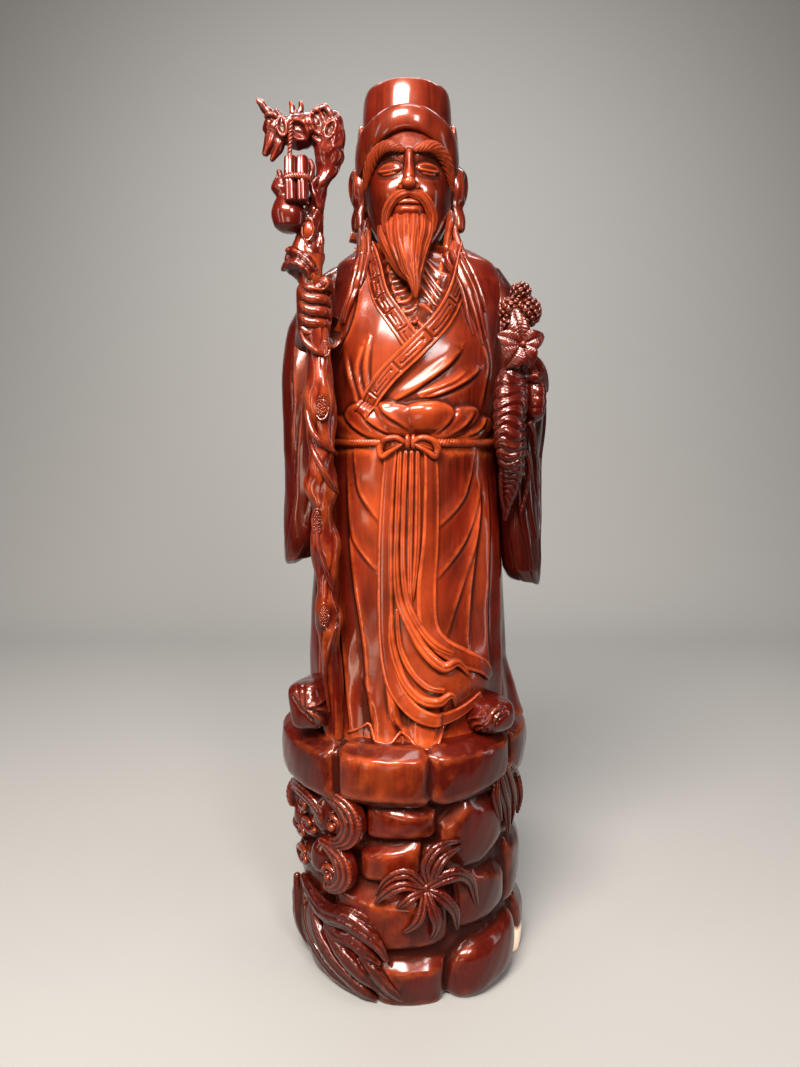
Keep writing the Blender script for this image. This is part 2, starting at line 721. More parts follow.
SASH_BANDS = [
    [[-18, 598, 6, 3, 1], [-21, 560, 6.5, 3.5, 2.5], [-24, 500, 7.5, 3.5, 2.5], [-24, 430, 8, 4, 3],
     [-22, 385, 8, 4, 3], [-14, 350, 8, 4.5, 4], [4, 326, 7.5, 4.5, 5], [28, 316, 6.5, 4, 5],
     [52, 320, 5, 3.5, 4], [74, 336, 3, 2.5, 2]],
    [[22, 598, 6.5, 3, 1], [23, 560, 7.5, 3.5, 2.5], [22, 500, 8.5, 3.5, 2.5], [18, 450, 10, 4, 3],
     [20, 412, 10, 4.5, 4], [32, 392, 9.5, 5, 5], [52, 378, 10, 5, 5], [72, 366, 8, 4, 4],
     [84, 350, 4, 2.5, 1]],
]
SASH_CORDS = [
    [[-9, 597, 2.6, 3, 2], [-11, 540, 3.2, 3.5, 4], [-13, 480, 3.4, 4, 4], [-10, 440, 4.5, 4.5, 5],
     [2, 410, 5.5, 5, 6], [16, 386, 6, 5, 8], [32, 371, 6, 4.5, 9], [46, 374, 4.5, 4, 8],
     [56, 361, 1.5, 2, 6]],
    [[-3, 597, 2.6, 3, 3], [-5, 540, 3, 4, 5], [-6, 480, 3.2, 4.5, 5], [-2, 440, 3.8, 5, 5],
     [10, 412, 4.5, 5, 6], [26, 392, 5, 5, 7], [44, 382, 4, 4, 6]],
    [[3, 597, 2.6, 3, 3], [2, 540, 3, 4, 5], [1, 490, 3.2, 4.5, 5], [1, 450, 3, 4.5, 4],
     [3, 430, 1.5, 3, 2]],
    [[9, 597, 2.6, 3, 2], [9, 540, 3.4, 3.5, 4], [8, 490, 3.6, 4, 4], [5, 452, 2.6, 4, 3],
     [4, 438, 1.5, 2, 1]],
    [[-18, 425, 3, 3.5, 4], [-17, 392, 4.4, 4.5, 4], [-6, 358, 5.2, 5, 6], [10, 339, 5.6, 5, 8],
     [28, 335, 5.4, 4.5, 8], [40, 341, 3.6, 3.5, 6], [47, 327, 1.5, 2, 4]],
    [[-12, 430, 2, 3, 3], [-9, 392, 3.4, 4, 4], [2, 366, 4, 4.5, 5], [18, 350, 4, 4, 5],
     [34, 346, 3, 3, 4]],
]
bm = bmesh.new()
for rows in SASH_BANDS:
    draped(bm, rows, sides=32, steps=210, square=3.2, smooth=50, tip=0.015, carved=hollowed)
for rows in SASH_CORDS:
    draped(bm, rows, sides=20, steps=170, square=2.2, smooth=50, tip=0.03, carved=grooved)
carve("sash_ends", bm)

# %% [markdown]
# ## Hem lip
# A thin rounded lip follows the wavy front edge of the skirt and catches the light. It is one long limb
# laid on the cloth at the hem's own height, because the skirt's mesh is too coarse for an edge so fine.

# %% Hem lip
bm = bmesh.new()
lip = [[x, hem_height(x), 1.7, 1.7, 0.6] for x in np.linspace(-66, 78, 110)]
draped(bm, lip, sides=12, steps=400, smooth=300, tip=0.01)
carve("hem_lip", bm)

# %% [markdown]
# ## Sleeves
# Each arm disappears into a wide sleeve that hangs like a bag. They are barrels too, with a line of folds
# down the front where the cloth is gathered over the wrist, and plainer folds round the outside. Paths on
# the far side are drawn by their angle round the sleeve, where minus ninety degrees is the front.

# %% Sleeves
STAFF_SLEEVE = [
    [462, -129, -30, 6, 10],
    [474, -124, -28, 15, 26],
    [500, -116, -24, 24, 40],
    [560, -109, -20, 27, 50],
    [620, -108, -20, 29, 54],
    [680, -108, -18, 30, 52],
    [730, -103, -12, 29, 46],
    [762, -94, 2, 25, 38],
    [790, -80, 8, 20, 28],
    [804, -72, 10, 12, 18],
]
PLANT_SLEEVE = [
    [436, 144.5, -6, 8, 17],
    [446, 136, -6, 17, 27],
    [462, 131, -8, 21, 35],
    [520, 127.5, -10, 22.5, 44],
    [580, 123, -14, 24, 50],
    [640, 121.5, -14, 30.5, 56],
    [690, 117, -6, 30, 46],
    [740, 108, 2, 26, 40],
    [775, 98, 6, 22, 32],
    [798, 88, 8, 16, 22],
    [806, 84, 8, 9, 13],
]
SLEEVE_SQUARE = 2.2


def wrapped(rows, path, count=60):
    """A path of [angle in degrees, z] round a sleeve, as a run of points."""
    angle, z = along(path, np.linspace(0, 1, count)).T
    cx, cy, half, deep = at_height(rows, z).T
    c, s = superellipse(np.radians(angle), SLEEVE_SQUARE)
    return np.stack([cx + c * half, cy + s * deep, z], axis=1)


STAFF_SLEEVE_FOLDS = [
    ([(-128, 742), (-116, 690), (-112, 650), (-120, 620), (-124, 586)], 2.6, 6, 1.8),
    ([(-96, 650), (-104, 612), (-112, 570), (-116, 541), (-128, 494)], 2.8, 7, 1.8),
    ([(-160, 740), (-152, 680), (-150, 610), (-158, 540), (-150, 500)], 3.0, 12, 2.4),
    ([(175, 740), (180, 660), (172, 580), (178, 510)], 2.6, 12, 2.4),
    ([(140, 730), (150, 660), (140, 580), (150, 500)], 2.6, 12, 2.4),
    ([(105, 720), (112, 640), (100, 560), (110, 500)], 2.6, 12, 2.4),
    ([(-70, 690), (-76, 640), (-70, 580), (-80, 520)], 2.2, 7, 2.0),
]
PLANT_SLEEVE_FOLDS = [
    ([(-140, 700), (-150, 664), (-152, 632), (-148, 600), (-140, 560)], 3.0, 6, 1.8),
    ([(-132, 530), (-124, 490), (-106, 446)], 3.0, 8, 2.0),
    ([(-106, 560), (-100, 520), (-80, 480), (-60, 446)], 3.0, 7, 2.0),
    ([(-84, 570), (-74, 530), (-54, 490), (-32, 452)], 2.8, 7, 2.0),
    ([(-74, 620), (-56, 580), (-48, 540)], 2.6, 7, 2.0),
    ([(-30, 700), (-26, 620), (-34, 540), (-40, 460)], 2.8, 11, 2.4),
    ([(5, 730), (10, 650), (0, 560), (4, 460)], 2.8, 12, 2.4),
    ([(42, 720), (50, 640), (40, 550), (46, 460)], 2.6, 12, 2.4),
    ([(84, 720), (90, 640), (80, 560), (86, 460)], 2.6, 12, 2.4),
]


def sleeve(name, rows, folds, foot, worn):
    """A hanging sleeve with its folds, and a hollow pressed up into its open foot."""
    cx, cy = rows[4][1], rows[4][2]

    def relief(points, normals):
        total = waves(points, (52, 30), 0.5)
        for path, high, soft, sharp in folds:
            total += welt(points, wrapped(rows, path), high, soft, sharp, 1.2, middle=(cx, cy))
        inside = step(-normals[:, 2], 0.35, 0.9) * step(foot - points[:, 2], 0, 16)
        return total - 6 * inside

    bm = bmesh.new()
    barrel(bm, rows, sides=160, steps=185, square=SLEEVE_SQUARE, tip=0.02)
    return carve(name, bm, relief=relief, worn=worn)


sleeve("staff_sleeve", STAFF_SLEEVE, STAFF_SLEEVE_FOLDS, 500, -0.3)
sleeve("plant_sleeve", PLANT_SLEEVE, PLANT_SLEEVE_FOLDS, 455, -0.6)

# %% [markdown]
# ## Hands
# A hand round a stem is mostly knuckles. The fist is a squat barrel that the wrist runs into, with a thumb
# laid on top. One remesh joins them, and a relief then rounds four fingers out of the front, as a carver
# blocks out the fist before parting the fingers. The other hand is half hidden, so it is kept simpler.

# %% Hands


FIST = [
    [702, -99, -84, 13, 15], [712, -97.5, -92, 16, 17.5], [726, -96, -96, 17.4, 18.5],
    [744, -96, -97, 17.6, 18.5], [756, -97, -96, 16.6, 17.5], [764, -98, -95, 12.5, 14],
]
STAFF_WRIST = [[-108, -30, 706, 19, 18], [-107, -60, 712, 14, 15], [-102, -82, 722, 13, 15]]
STAFF_THUMB = [
    [-92, -72, 750, 8, 8], [-84, -86, 757, 8, 7.4], [-83, -101, 761, 8, 7.2], [-88, -110, 760, 7.4, 6.6],
]
PLANT_WRIST = [[122, -34, 652, 24, 24], [127, -60, 652, 19, 24], [132, -76, 652, 12, 22]]
PLANT_THUMB = [[134, -72, 668, 7, 6.5], [131, -88, 672, 6.5, 6], [127, -97, 668, 5.5, 5.5]]


def staff_hand():
    """The fist round the staff."""
    bm = bmesh.new()
    barrel(bm, FIST, sides=80, steps=80, square=2.3, tip=0.06)
    limb(bm, STAFF_WRIST, facing=upwards, sides=32, steps=40)
    limb(bm, STAFF_THUMB, facing=upwards, sides=32, steps=70, tip=0.12)

    def fingers(points, normals):
        """Rounds four fingers out of the fist, and leaves the back of the hand whole."""
        x, y, z = points.T
        turn = np.degrees(np.arctan2(y + 95, x + 95.5))
        strip = step(turn, -146, -116) * (1 - step(turn, -16, 4))
        strip = strip * step(z, 704, 710) * (1 - step(z, 762, 764))
        level = (764 + 5 * step(-turn, 90, 140) - z) / 12.4
        across = 2 * (level % 1) - 1
        rounded = 5.4 * (1 - np.sqrt(np.clip(1 - across**2, 0, 1)))
        nail = np.hypot((x + 87.5) / 6, (z - 761) / 5)
        rim = -1.2 * np.exp(-(((nail - 1) / 0.2) ** 2))
        return np.where((z > 754) & (x > -95), rim * (y < -108), -rounded * strip)

    return carve("staff_hand", bm, voxel=0.9, soften=3, relief=fingers)


def plant_hand():
    """The back of the hand that holds the plant."""
    bm = bmesh.new()
    limb(bm, PLANT_WRIST, facing=upwards, sides=36, steps=40)
    lump(bm, (131, -76, 650), (12, 17, 25), power=2.4, turn=(0, 0, 12), fine=5)
    limb(bm, PLANT_THUMB, facing=upwards, sides=24, steps=50, tip=0.14)

    def knuckles(points, normals):
        """Shallow valleys between the fingers."""
        x, y, z = points.T
        level = ((664 - z) / 12.5) % 1
        strip = step(x, 122, 130) * step(-y, 66, 76) * step(z, 624, 630) * (1 - step(z, 662, 665))
        return -1.2 * (1 - np.sqrt(np.clip(1 - (2 * level - 1) ** 2, 0, 1))) * strip

    return carve("plant_hand", bm, voxel=0.95, soften=4, relief=knuckles, worn=-0.3)


staff_hand()
plant_hand()

# %% [markdown]
# ## Head
# The face is a plain, calm one on the proportions that drawing books teach: the eyes halfway down, the nose
# a third of the way, the mouth a third below it. The skull, nose, cheeks and ears are lumps joined by a
# remesh. The eyelids, lips and other shallow forms are then carved in as relief, the same on both sides.

# %% Head
HEAD = [
    [800, 0, -34, 12, 14],
    [810, 0, -31, 26, 27],
    [826, 0, -22, 36, 38],
    [848, 0, -13, 44, 47],
    [872, 0, -8, 48, 53],
    [898, 0, -6, 49, 56],
    [925, 0, -2, 46, 52],
    [950, 0, 0, 42, 46],
]
EYE_X, EYE_Z = 20.5, 887
MOUTH_Z = 849


def face_relief(points, normals):
    """The shallow forms of the face, the same on both sides."""
    x, y, z = points.T
    front = step(-normals[:, 1], 0.25, 0.7) * step(-y, 30, 42)
    ax = abs(x)
    u, w = (ax - EYE_X) / 13, (z - EYE_Z) / 8
    socket = -4.2 * np.exp(-(u**2) - ((z - EYE_Z - 1) / 9) ** 2)
    dome = 4.6 * np.sqrt(np.clip(1 - (u / 0.96) ** 2 - (w / 0.86) ** 2, 0, 1))
    slit = EYE_Z - 2.6 - 1.6 * (1 - u**2)
    lash = -1.3 * np.exp(-(((z - slit) / 0.7) ** 2)) + 0.8 * np.exp(-(((z - slit - 1.9) / 1.2) ** 2))
    crease = -0.8 * np.exp(-(((z - EYE_Z - 6.6 + 3.4 * u**2) / 0.8) ** 2))
    pouch = -0.6 * np.exp(-(((z - EYE_Z + 10 - 3.0 * u**2) / 1.2) ** 2))
    within = np.clip(1.2 - u**2, 0, 1)
    lips = 2.4 * np.exp(-((x / 12) ** 4) - ((z - MOUTH_Z + 4.2) / 3.1) ** 2)
    lips += 1.8 * np.exp(-((x / 14) ** 4) - ((z - MOUTH_Z - 3.2 + 0.012 * x * x) / 2.4) ** 2)
    parting = -1.5 * np.exp(-((x / 15) ** 6) - ((z - MOUTH_Z + 0.3 - 0.006 * x * x) / 0.8) ** 2)
    groove = -0.8 * np.exp(-((x / 2.2) ** 2) - ((z - 858) / 4) ** 2)
    laugh = 9 + 10 * np.clip((868 - z) / 22, 0, 1)
    laugh = -0.9 * np.exp(-(((ax - laugh) / 1.6) ** 2)) * step(z, 842, 852) * step(872 - z, 0, 6)
    chin = 2.0 * np.exp(-((x / 14) ** 2) - ((z - 826) / 9) ** 2)
    cheek = 3.6 * np.exp(-(((ax - 24) / 13) ** 2) - ((z - 864) / 13) ** 2)
    lids = within * (lash + crease + pouch)
    return front * (cheek + socket + dome + lids + lips + parting + groove + laugh + chin)


def ear_relief(points, normals):
    """The bowl of each ear inside its raised rim."""
    x, y, z = points.T
    ax = abs(x)
    outer = step(ax, 49, 52)
    ring = np.hypot((y + 0.5) / 9.5, (z - 886) / 17)
    bowl = -3.8 * np.exp(-((ring / 0.62) ** 4)) + 0.9 * np.exp(-(((ring - 1.0) / 0.16) ** 2))
    return outer * bowl


NAPE = [[776, 0, 18, 40, 42], [800, 0, 16, 45, 42], [840, 0, 20, 46, 43], [895, 0, 20, 46, 44]]
NOSE = [[0, -56, 905, 5, 5], [0, -62, 896, 4.6, 6], [0, -67.5, 882, 5.2, 7], [0, -70.5, 871, 7, 7.5]]
BROW_BONE = [[5, -58, 904, 4, 4], [20, -57, 906, 6, 5.5], [36, -46, 901, 6, 6], [44, -34, 890, 4, 5]]
EAR = [
    [51, 5, 908, 9, 6], [56, 2, 899, 13, 7.5], [57.5, -1, 884, 13.5, 7.5], [54, -2, 866, 10, 6],
    [55.5, -4, 850, 9.5, 8], [55, -5, 836, 8, 7.5],
]


def earwards(side):
    """The way that an ear faces: out to its side and a little to the front."""
    return lambda points: np.tile((0.86 * side, -0.5, 0.0), (len(points), 1))


bm = bmesh.new()
barrel(bm, HEAD, sides=120, steps=110, square=2.1, tip=0.04)
barrel(bm, NAPE, sides=80, steps=60)
limb(bm, NOSE, facing=forwards, sides=32, steps=60, tip=0.1)
lump(bm, (0, -71, 868.5), (7.6, 7.6, 6.6))
for side in (-1, 1):
    lump(bm, (side * 7.6, -66, 866.5), (4.6, 5.6, 4.6))
    limb(bm, mirrored(BROW_BONE, side), facing=forwards, sides=24, steps=50, tip=0.2)
    limb(bm, mirrored(EAR, side), facing=earwards(side), sides=40, steps=90, tip=0.09)
lump(bm, (0, -52, 845), (17, 13, 13), power=2.2)
lump(bm, (0, -55, 855), (15, 11, 11), power=2.2)
carve("head", bm, voxel=1.14, soften=9, relief=lambda p, n: face_relief(p, n) + ear_relief(p, n))

# %% [markdown]
# ## Hair
# Carved hair is a solid mass scored with fine V cuts that follow its flow. The masses here are limbs, and
# the cuts are a wave across the limb whose sharp valleys drift and fork a little along the way. The beard
# is seven limbs that start along the jaw and meet in one point, with a moustache and two long brows.

# %% Hair


def strands(count, deep, drift=0.7, seed=0.0):
    """Fine cuts along a limb: sharp valleys between rounded strands."""

    def cut(c, s, t):
        phase = count * c * 1.5 + drift * np.sin(5 * t + 4 * c + seed)
        phase = phase + 0.6 * np.sin(11 * t + 9 * c + 2 * seed)
        fine = abs(np.sin(phase))
        broad = abs(np.sin(0.37 * phase + seed + t))
        return deep * (np.sqrt(fine) - 0.75) + 0.8 * deep * (broad - 0.6)

    return cut


def brow_hair(c, s, t):
    """Short hairs that slant across a brow."""
    phase = 46 * t + 6.5 * c + 0.9 * np.sin(4 * c + 9 * t)
    return 0.9 * (np.sqrt(abs(np.sin(phase))) - 0.75)


BEARD_PLACES = (-1.0, -0.68, -0.37, -0.08, 0.2, 0.46, 0.72)
MOUSTACHE = [
    [-1.5, -67, 860, 2.6, 2.6], [5, -67, 859.5, 4.6, 3], [14, -64, 856, 5.6, 3.4],
    [21, -59.5, 848, 5.6, 3.4], [25, -55, 836, 5, 3.2], [24.5, -55, 822, 1.6, 1.8],
]
BROW = [
    [4.5, -62, 902.5, 2.6, 2.4], [13, -63, 906, 5.2, 3.2], [24, -60, 907.5, 6.6, 3.6],
    [35, -52.5, 902, 6.8, 3.8], [43, -43, 889, 5.6, 3.4], [47.5, -34, 870, 1.4, 1.8],
]
bm = bmesh.new()
for i, a in enumerate(BEARD_PLACES):
    b = a * a
    rows = [
        [26 * a, -50 + 21 * b, 848 + 6 * b, 3, 3], [27 * a, -60 + 24 * b, 838 + 5 * b, 6, 5],
        [26 * a, -67 + 23 * b, 824, 7.5, 7], [19 * a, -72 + 17 * b, 805, 7.5, 7.5],
        [10.5 * a + 2, -76 + 9 * b, 784, 6.4, 6.4], [5 * a + 5, -80 + 4 * b, 768 + 5 * b, 4.2, 4.2],
        [2.5 * a + 7, -82, 751 + 12 * b, 1.1, 1.4],
    ]
    carved = strands(7, 1.0, drift=1.3, seed=1.7 * i)
    limb(bm, rows, facing=forwards, sides=46, steps=120, tip=0.06, carved=carved)
for side in (-1, 1):
    carved = strands(6, 0.9, seed=side)
    limb(bm, mirrored(MOUSTACHE, side), facing=forwards, sides=40, steps=100, tip=0.05, carved=carved)
    limb(bm, mirrored(BROW, side), facing=forwards, sides=40, steps=170, tip=0.06, carved=brow_hair)
carve("beard_and_brows", bm, worn=0.12, dull=0.75)

# %% [markdown]
# ## Locks on the shoulders
# Long locks leave the head behind the ears and lie down on the robe. Each is one limb: its first rows hang
# free beside the neck, and the rest take their depth from the cloth.

# %% Locks


def lock(bm, free, laid, seed=0.0, cuts=2.2):
    """A lock of hair that leaves the head freely and then lies on the robe."""
    table = np.array(laid, float)
    share = np.linspace(0, 1, 6 * len(laid))
    table = along(table, share)
    points, out = cloth_at(table[:, 0], table[:, 1])
    points += out * table[:, 4:5]
    laid_rows = np.concatenate([points, table[:, 2:4]], axis=1)
    free_rows = along(free, np.linspace(0, 1, 5 * len(free)))
    carved = strands(cuts, 0.8, seed=seed)
    return limb(bm, np.concatenate([free_rows, laid_rows]), sides=32, steps=120, tip=0.03, carved=carved)


LEFT_LOCKS = [
    ([[-50, 2, 862, 4.5, 4], [-52, -10, 840, 5.5, 4.5]],
     [[-50, 806, 6, 4, 3], [-56, 784, 6, 4, 2.5], [-63, 760, 5.5, 3.6, 2], [-70, 738, 4, 3, 1.5],
      [-77, 718, 1.5, 1.6, 0.5]]),
    ([[-47, -14, 846, 4, 4], [-49, -22, 830, 4.5, 4]],
     [[-47, 804, 4.5, 4, 4], [-51, 780, 4.5, 3.6, 3.5], [-60, 752, 3.5, 3, 3],
      [-68, 730, 1.4, 1.6, 1.5]]),
    ([[-45, -8, 850, 3, 3], [-44, -26, 830, 3.4, 3.4]],
     [[-42, 806, 3.4, 3, 3], [-46, 784, 3, 3, 2], [-50, 768, 1.2, 1.6, 1]]),
]
RIGHT_LOCKS = [
    [[46, 808, 4.5, 4, 3], [53, 784, 5, 4, 4], [64, 756, 4.5, 3.6, 3], [71, 730, 3, 3, 2],
     [77, 706, 1.3, 1.6, 0.5]],
    [[51, 808, 5, 4, 2], [61, 784, 5, 4, 3], [70, 760, 4.5, 3.6, 2.5], [76, 736, 3, 3, 1.5],
     [82, 714, 1.3, 1.6, 0.5]],
    [[56, 806, 4, 4, 2], [68, 784, 4.5, 3.6, 2], [76, 762, 3.6, 3, 1.5], [82, 742, 1.4, 1.6, 0.5]],
    [[40, 806, 3.4, 3.4, 4], [45, 786, 3.6, 3.4, 4], [54, 764, 3.2, 3, 3.5], [60, 738, 2.4, 2.6, 2],
     [67, 716, 1.2, 1.4, 0.6]],
]
bm = bmesh.new()
for i, (free, rows) in enumerate(LEFT_LOCKS):
    lock(bm, free, rows, 1 + i)
for i, rows in enumerate(RIGHT_LOCKS):
    free = [[49 - 1.5 * i, 2 - 7 * i, 860 - 2 * i, 4.5, 4], [51 - 2 * i, -8 - 7 * i, 840, 5, 4.4]]
    lock(bm, free, rows, 4 + i)
carve("hair_locks", bm, worn=-0.1)

# %% [markdown]
# ## Cap
# The cap is a plain crown inside a turned-up band, which rides higher over the forehead, with a flat flap
# at each side. One profile runs from the band's lower edge, over its rim, down to the crown and up to the
# top. Its rows hold a radius and a share: 0 to 1 up the band, 1 to 2 up the crown.

# %% Cap
CAP_TOP = 990
CAP_PROFILE = [
    [44, -0.02], [50, 0], [54, 0.01], [56.2, 0.1], [57.4, 0.3], [57.6, 0.55], [56.6, 0.8], [55, 0.94],
    [53, 1], [51.4, 0.985], [50.4, 0.96], [49.8, 1.02], [49.4, 1.15], [48.9, 1.4], [47.8, 1.64],
    [46.6, 1.77], [44.4, 1.87], [40.6, 1.93], [33, 1.97], [20, 1.99], [8, 2.0], [0.5, 2.0],
]


def cap_place(u, v):
    """The cap's profile, stretched between heights that rise to the front."""
    half, share = along(CAP_PROFILE, v).T
    angle = TURN * u
    front = np.maximum(0, -np.sin(angle)) ** 2
    low = 892 + 34 * front
    high = 934 + 18 * front
    height = np.where(share > 1, high + (CAP_TOP - high) * (share - 1), low + (high - low) * share)
    height -= 5 * step(share, 1.7, 1.95) * np.maximum(0, -np.sin(angle)) * (half / 44)
    full = np.where((v > 0) & (v < 1), half, 0)
    return np.stack([full * np.cos(angle) - 1.5, 1.06 * full * np.sin(angle), height], axis=1)


def cap_relief(points, normals):
    """Only the scraper's marks."""
    return waves(points, (46, 28), 0.3)


bm = bmesh.new()
skin(bm, cap_place, 220, 160)
for side in (-1, 1):
    lump(bm, (side * 52 - 1, 6, 922), (5, 26, 30), power=2.6, turn=(-8, -3 * side, -3 * side), fine=5)
carve("cap", bm, relief=cap_relief)

# %% [markdown]
# ## Bundle behind the neck
# Two stick ends show past the shoulder, so something is slung across the nape. Its shape is a guess: a
# plain cloth roll, tied twice, that rests on the collar. It is one limb with creases, drawn in at the ties.

# %% Neck bundle


def tied(c, s, t):
    """A roll with shallow creases, drawn in where it is tied."""
    ties = np.exp(-(((t - 0.24) / 0.02) ** 2)) + np.exp(-(((t - 0.76) / 0.02) ** 2))
    angle = np.arctan2(s, c)
    return 0.9 * np.sin(5 * angle + 8 * t) * np.sin(np.pi * t) - 2.6 * ties


ROLL = [
    [-50, 64, 838, 14, 14], [-26, 71, 831, 17, 17], [0, 74, 827, 17.5, 17.5], [26, 71, 821, 17, 17],
    [53, 65, 814, 14, 14],
]
STICKS = [
    [[-36, 60, 842, 6, 6], [-62, 57, 847, 6.4, 6.4], [-69, 56, 848.5, 6.4, 6.4]],
    [[-36, 60, 826, 5, 5], [-58, 58.5, 830, 5.4, 5.4], [-65, 58, 831.5, 5.4, 5.4]],
]
bm = bmesh.new()
limb(bm, ROLL, facing=upwards, sides=70, steps=130, tip=0.12, carved=tied)
for rows in STICKS:
    limb(bm, rows, facing=upwards, sides=36, steps=60, tip=0.04)
carve("neck_bundle", bm)

# %% [markdown]
# ## Staff
# The staff is a gnarled branch. Its shaft is one limb whose section swells and twists along a table of x,
# y, z and radius, with vine ridges wound round it. Behind the shaft a web of timber joins it to the robe,
# because the carving is one log. Oval knots are let into it: a rim, a cushion, and a spiral of seeds.

# %% Staff
STAFF = [
    [-80, -92, 284, 9],
    [-83, -94, 385, 11],
    [-85, -95, 420, 14],
    [-86, -96, 450, 11],
    [-87, -96, 490, 15],
    [-89, -97, 530, 12],
    [-91, -98, 565, 16],
    [-90, -98, 600, 13],
    [-90, -99, 645, 16],
    [-92, -99, 690, 12],
    [-95, -98, 745, 12],
    [-102, -98, 784, 15.5],
    [-99, -97, 812, 12],
    [-94, -96, 838, 7],
]


def bark(c, s, t):
    """Twisted ridges and hollows, as on a branch that a vine has squeezed."""
    angle = np.arctan2(s, c)
    twist = np.sin(2 * angle + 46 * t) * 1.1 + np.sin(3 * angle - 71 * t) * 0.7
    return twist + 0.9 * np.sin(60 * t + 2 * np.sin(angle)) - 0.6 * step(np.sin(5 * angle + 30 * t), 0.7, 1)


WEB = [[-84, -70, 284, 7, 28], [-86, -66, 480, 7, 32], [-92, -60, 690, 8, 36], [-94, -62, 720, 6, 24]]
VINES = [
    [[-104, -102, 644, 3, 3], [-101, -110, 626, 3.6, 3.6], [-94, -116, 610, 3.6, 3.6],
     [-80, -112, 598, 3.2, 3], [-74, -102, 592, 2, 2]],
    [[-101, -104, 606, 2.6, 3], [-94, -113, 590, 3.4, 3.4], [-86, -115, 574, 3.6, 3.4],
     [-77, -108, 558, 3, 3], [-73, -100, 552, 2, 2]],
    [[-96, -106, 530, 2, 2], [-93, -112, 500, 2.6, 2.4], [-84, -113, 470, 2.4, 2.4],
     [-78, -106, 450, 1.6, 2]],
    [[-76, -106, 414, 2, 2], [-84, -109, 390, 2.4, 2.4], [-88, -106, 360, 2, 2],
     [-84, -104, 320, 1.6, 2]],
    [[-110, -104, 716, 2, 2], [-104, -111, 704, 3, 3], [-92, -113, 694, 3, 3], [-82, -106, 690, 2, 2]],
]
OVAL_KNOTS = [(-88, 640, 6.5, 13.5), (-94, 524, 5, 12.5), (-88, 427, 4.6, 12), (-84, 697, 4, 7)]
SEEDS = 34


def oval_knot(bm, x, z, wide, high):
    """A rim that bends round the shaft, a cushion in it, and seeds in a spiral."""
    y = -99 - at_height([[row[2], row[3]] for row in STAFF], np.array([float(z)]))[0, 0]
    ring = np.linspace(0, TURN, 33)
    across, thick = wide * np.cos(ring), 0 * ring + 1.6
    bent = y + 1.5 + 0.16 * across**2 / 2
    rim = np.stack([x + across, bent, z + high * np.sin(ring), thick, thick], axis=1)
    limb(bm, rim, facing=forwards, sides=16, steps=120, tip=0.01)
    lump(bm, (x, y + 3, z), (wide, 3.4, high), fine=4)
    for k in range(SEEDS):
        share, around = math.sqrt((k + 0.5) / SEEDS) * 0.8, 2.4 * k
        px, pz = share * wide * math.cos(around), share * high * math.sin(around)
        lump(bm, (x + px, y - 0.2 + 0.06 * px * px, z + pz), (0.95, 1.1, 0.95), fine=2)


bm = bmesh.new()
shaft = [[x, y, z, r, r] for x, y, z, r in STAFF]
limb(bm, shaft, facing=forwards, sides=48, steps=360, tip=0.008, carved=bark)
limb(bm, WEB, facing=forwards, sides=40, steps=120, tip=0.03)
for rows in VINES:
    limb(bm, rows, sides=24, steps=90, tip=0.12)
for knot in OVAL_KNOTS:
    oval_knot(bm, *knot)
carve("staff_shaft", bm, worn=-0.1)

# %% [markdown]
# ## The crook of the staff
# The top of the staff bends over into a dragon. Its neck is one twisted limb that goes up, round and back
# to the left. The round hole under the neck is real, so the limb goes round it, and a few lumps thicken
# the mane at the bend and the skull at the end.

# %% Crook


def sinew(c, s, t):
    """A twist, with three cuts that wind round it."""
    angle = np.arctan2(s, c)
    return 1.2 * np.sin(30 * t + 2 * angle) - cut_line(np.sin(3 * angle + 9 * t), 0.3)


CROOK = [
    [-102, -98, 786, 15, 14.5], [-99, -98, 806, 13.5, 13], [-96.5, -97, 822, 12, 12],
    [-93.5, -96, 838, 8, 9], [-89.5, -95, 852, 7, 8.5], [-85, -94, 866, 8.5, 10],
    [-81, -94, 878, 12, 12.5], [-80, -94, 892, 16, 15], [-82, -94, 907, 17, 16], [-93, -95, 913, 15, 15],
    [-107, -96, 909, 15.5, 14.5], [-119, -97, 909, 13, 12], [-130, -98, 908, 9, 9],
]
bm = bmesh.new()
limb(bm, CROOK, facing=forwards, sides=44, steps=260, tip=0.03, carved=sinew)
lump(bm, (-80, -95, 905), (14.5, 13, 25), turn=(0, 14, 0))
lump(bm, (-89, -95, 914), (14, 13, 15))
lump(bm, (-75, -95, 886), (10.5, 12, 13))
lump(bm, (-110, -96, 906), (16, 13, 15))
lump(bm, (-133, -98, 911), (11.5, 9.5, 10.5))
print("the crook has", len(bm.verts), "vertices so far")

# %% [markdown]
# ## Muzzle and antlers
# Two jaws open downwards, a horn sweeps up from the snout, and three short prongs stand on the neck. All
# are short limbs that taper to their tips, started well inside the neck so that the remesh joins them.

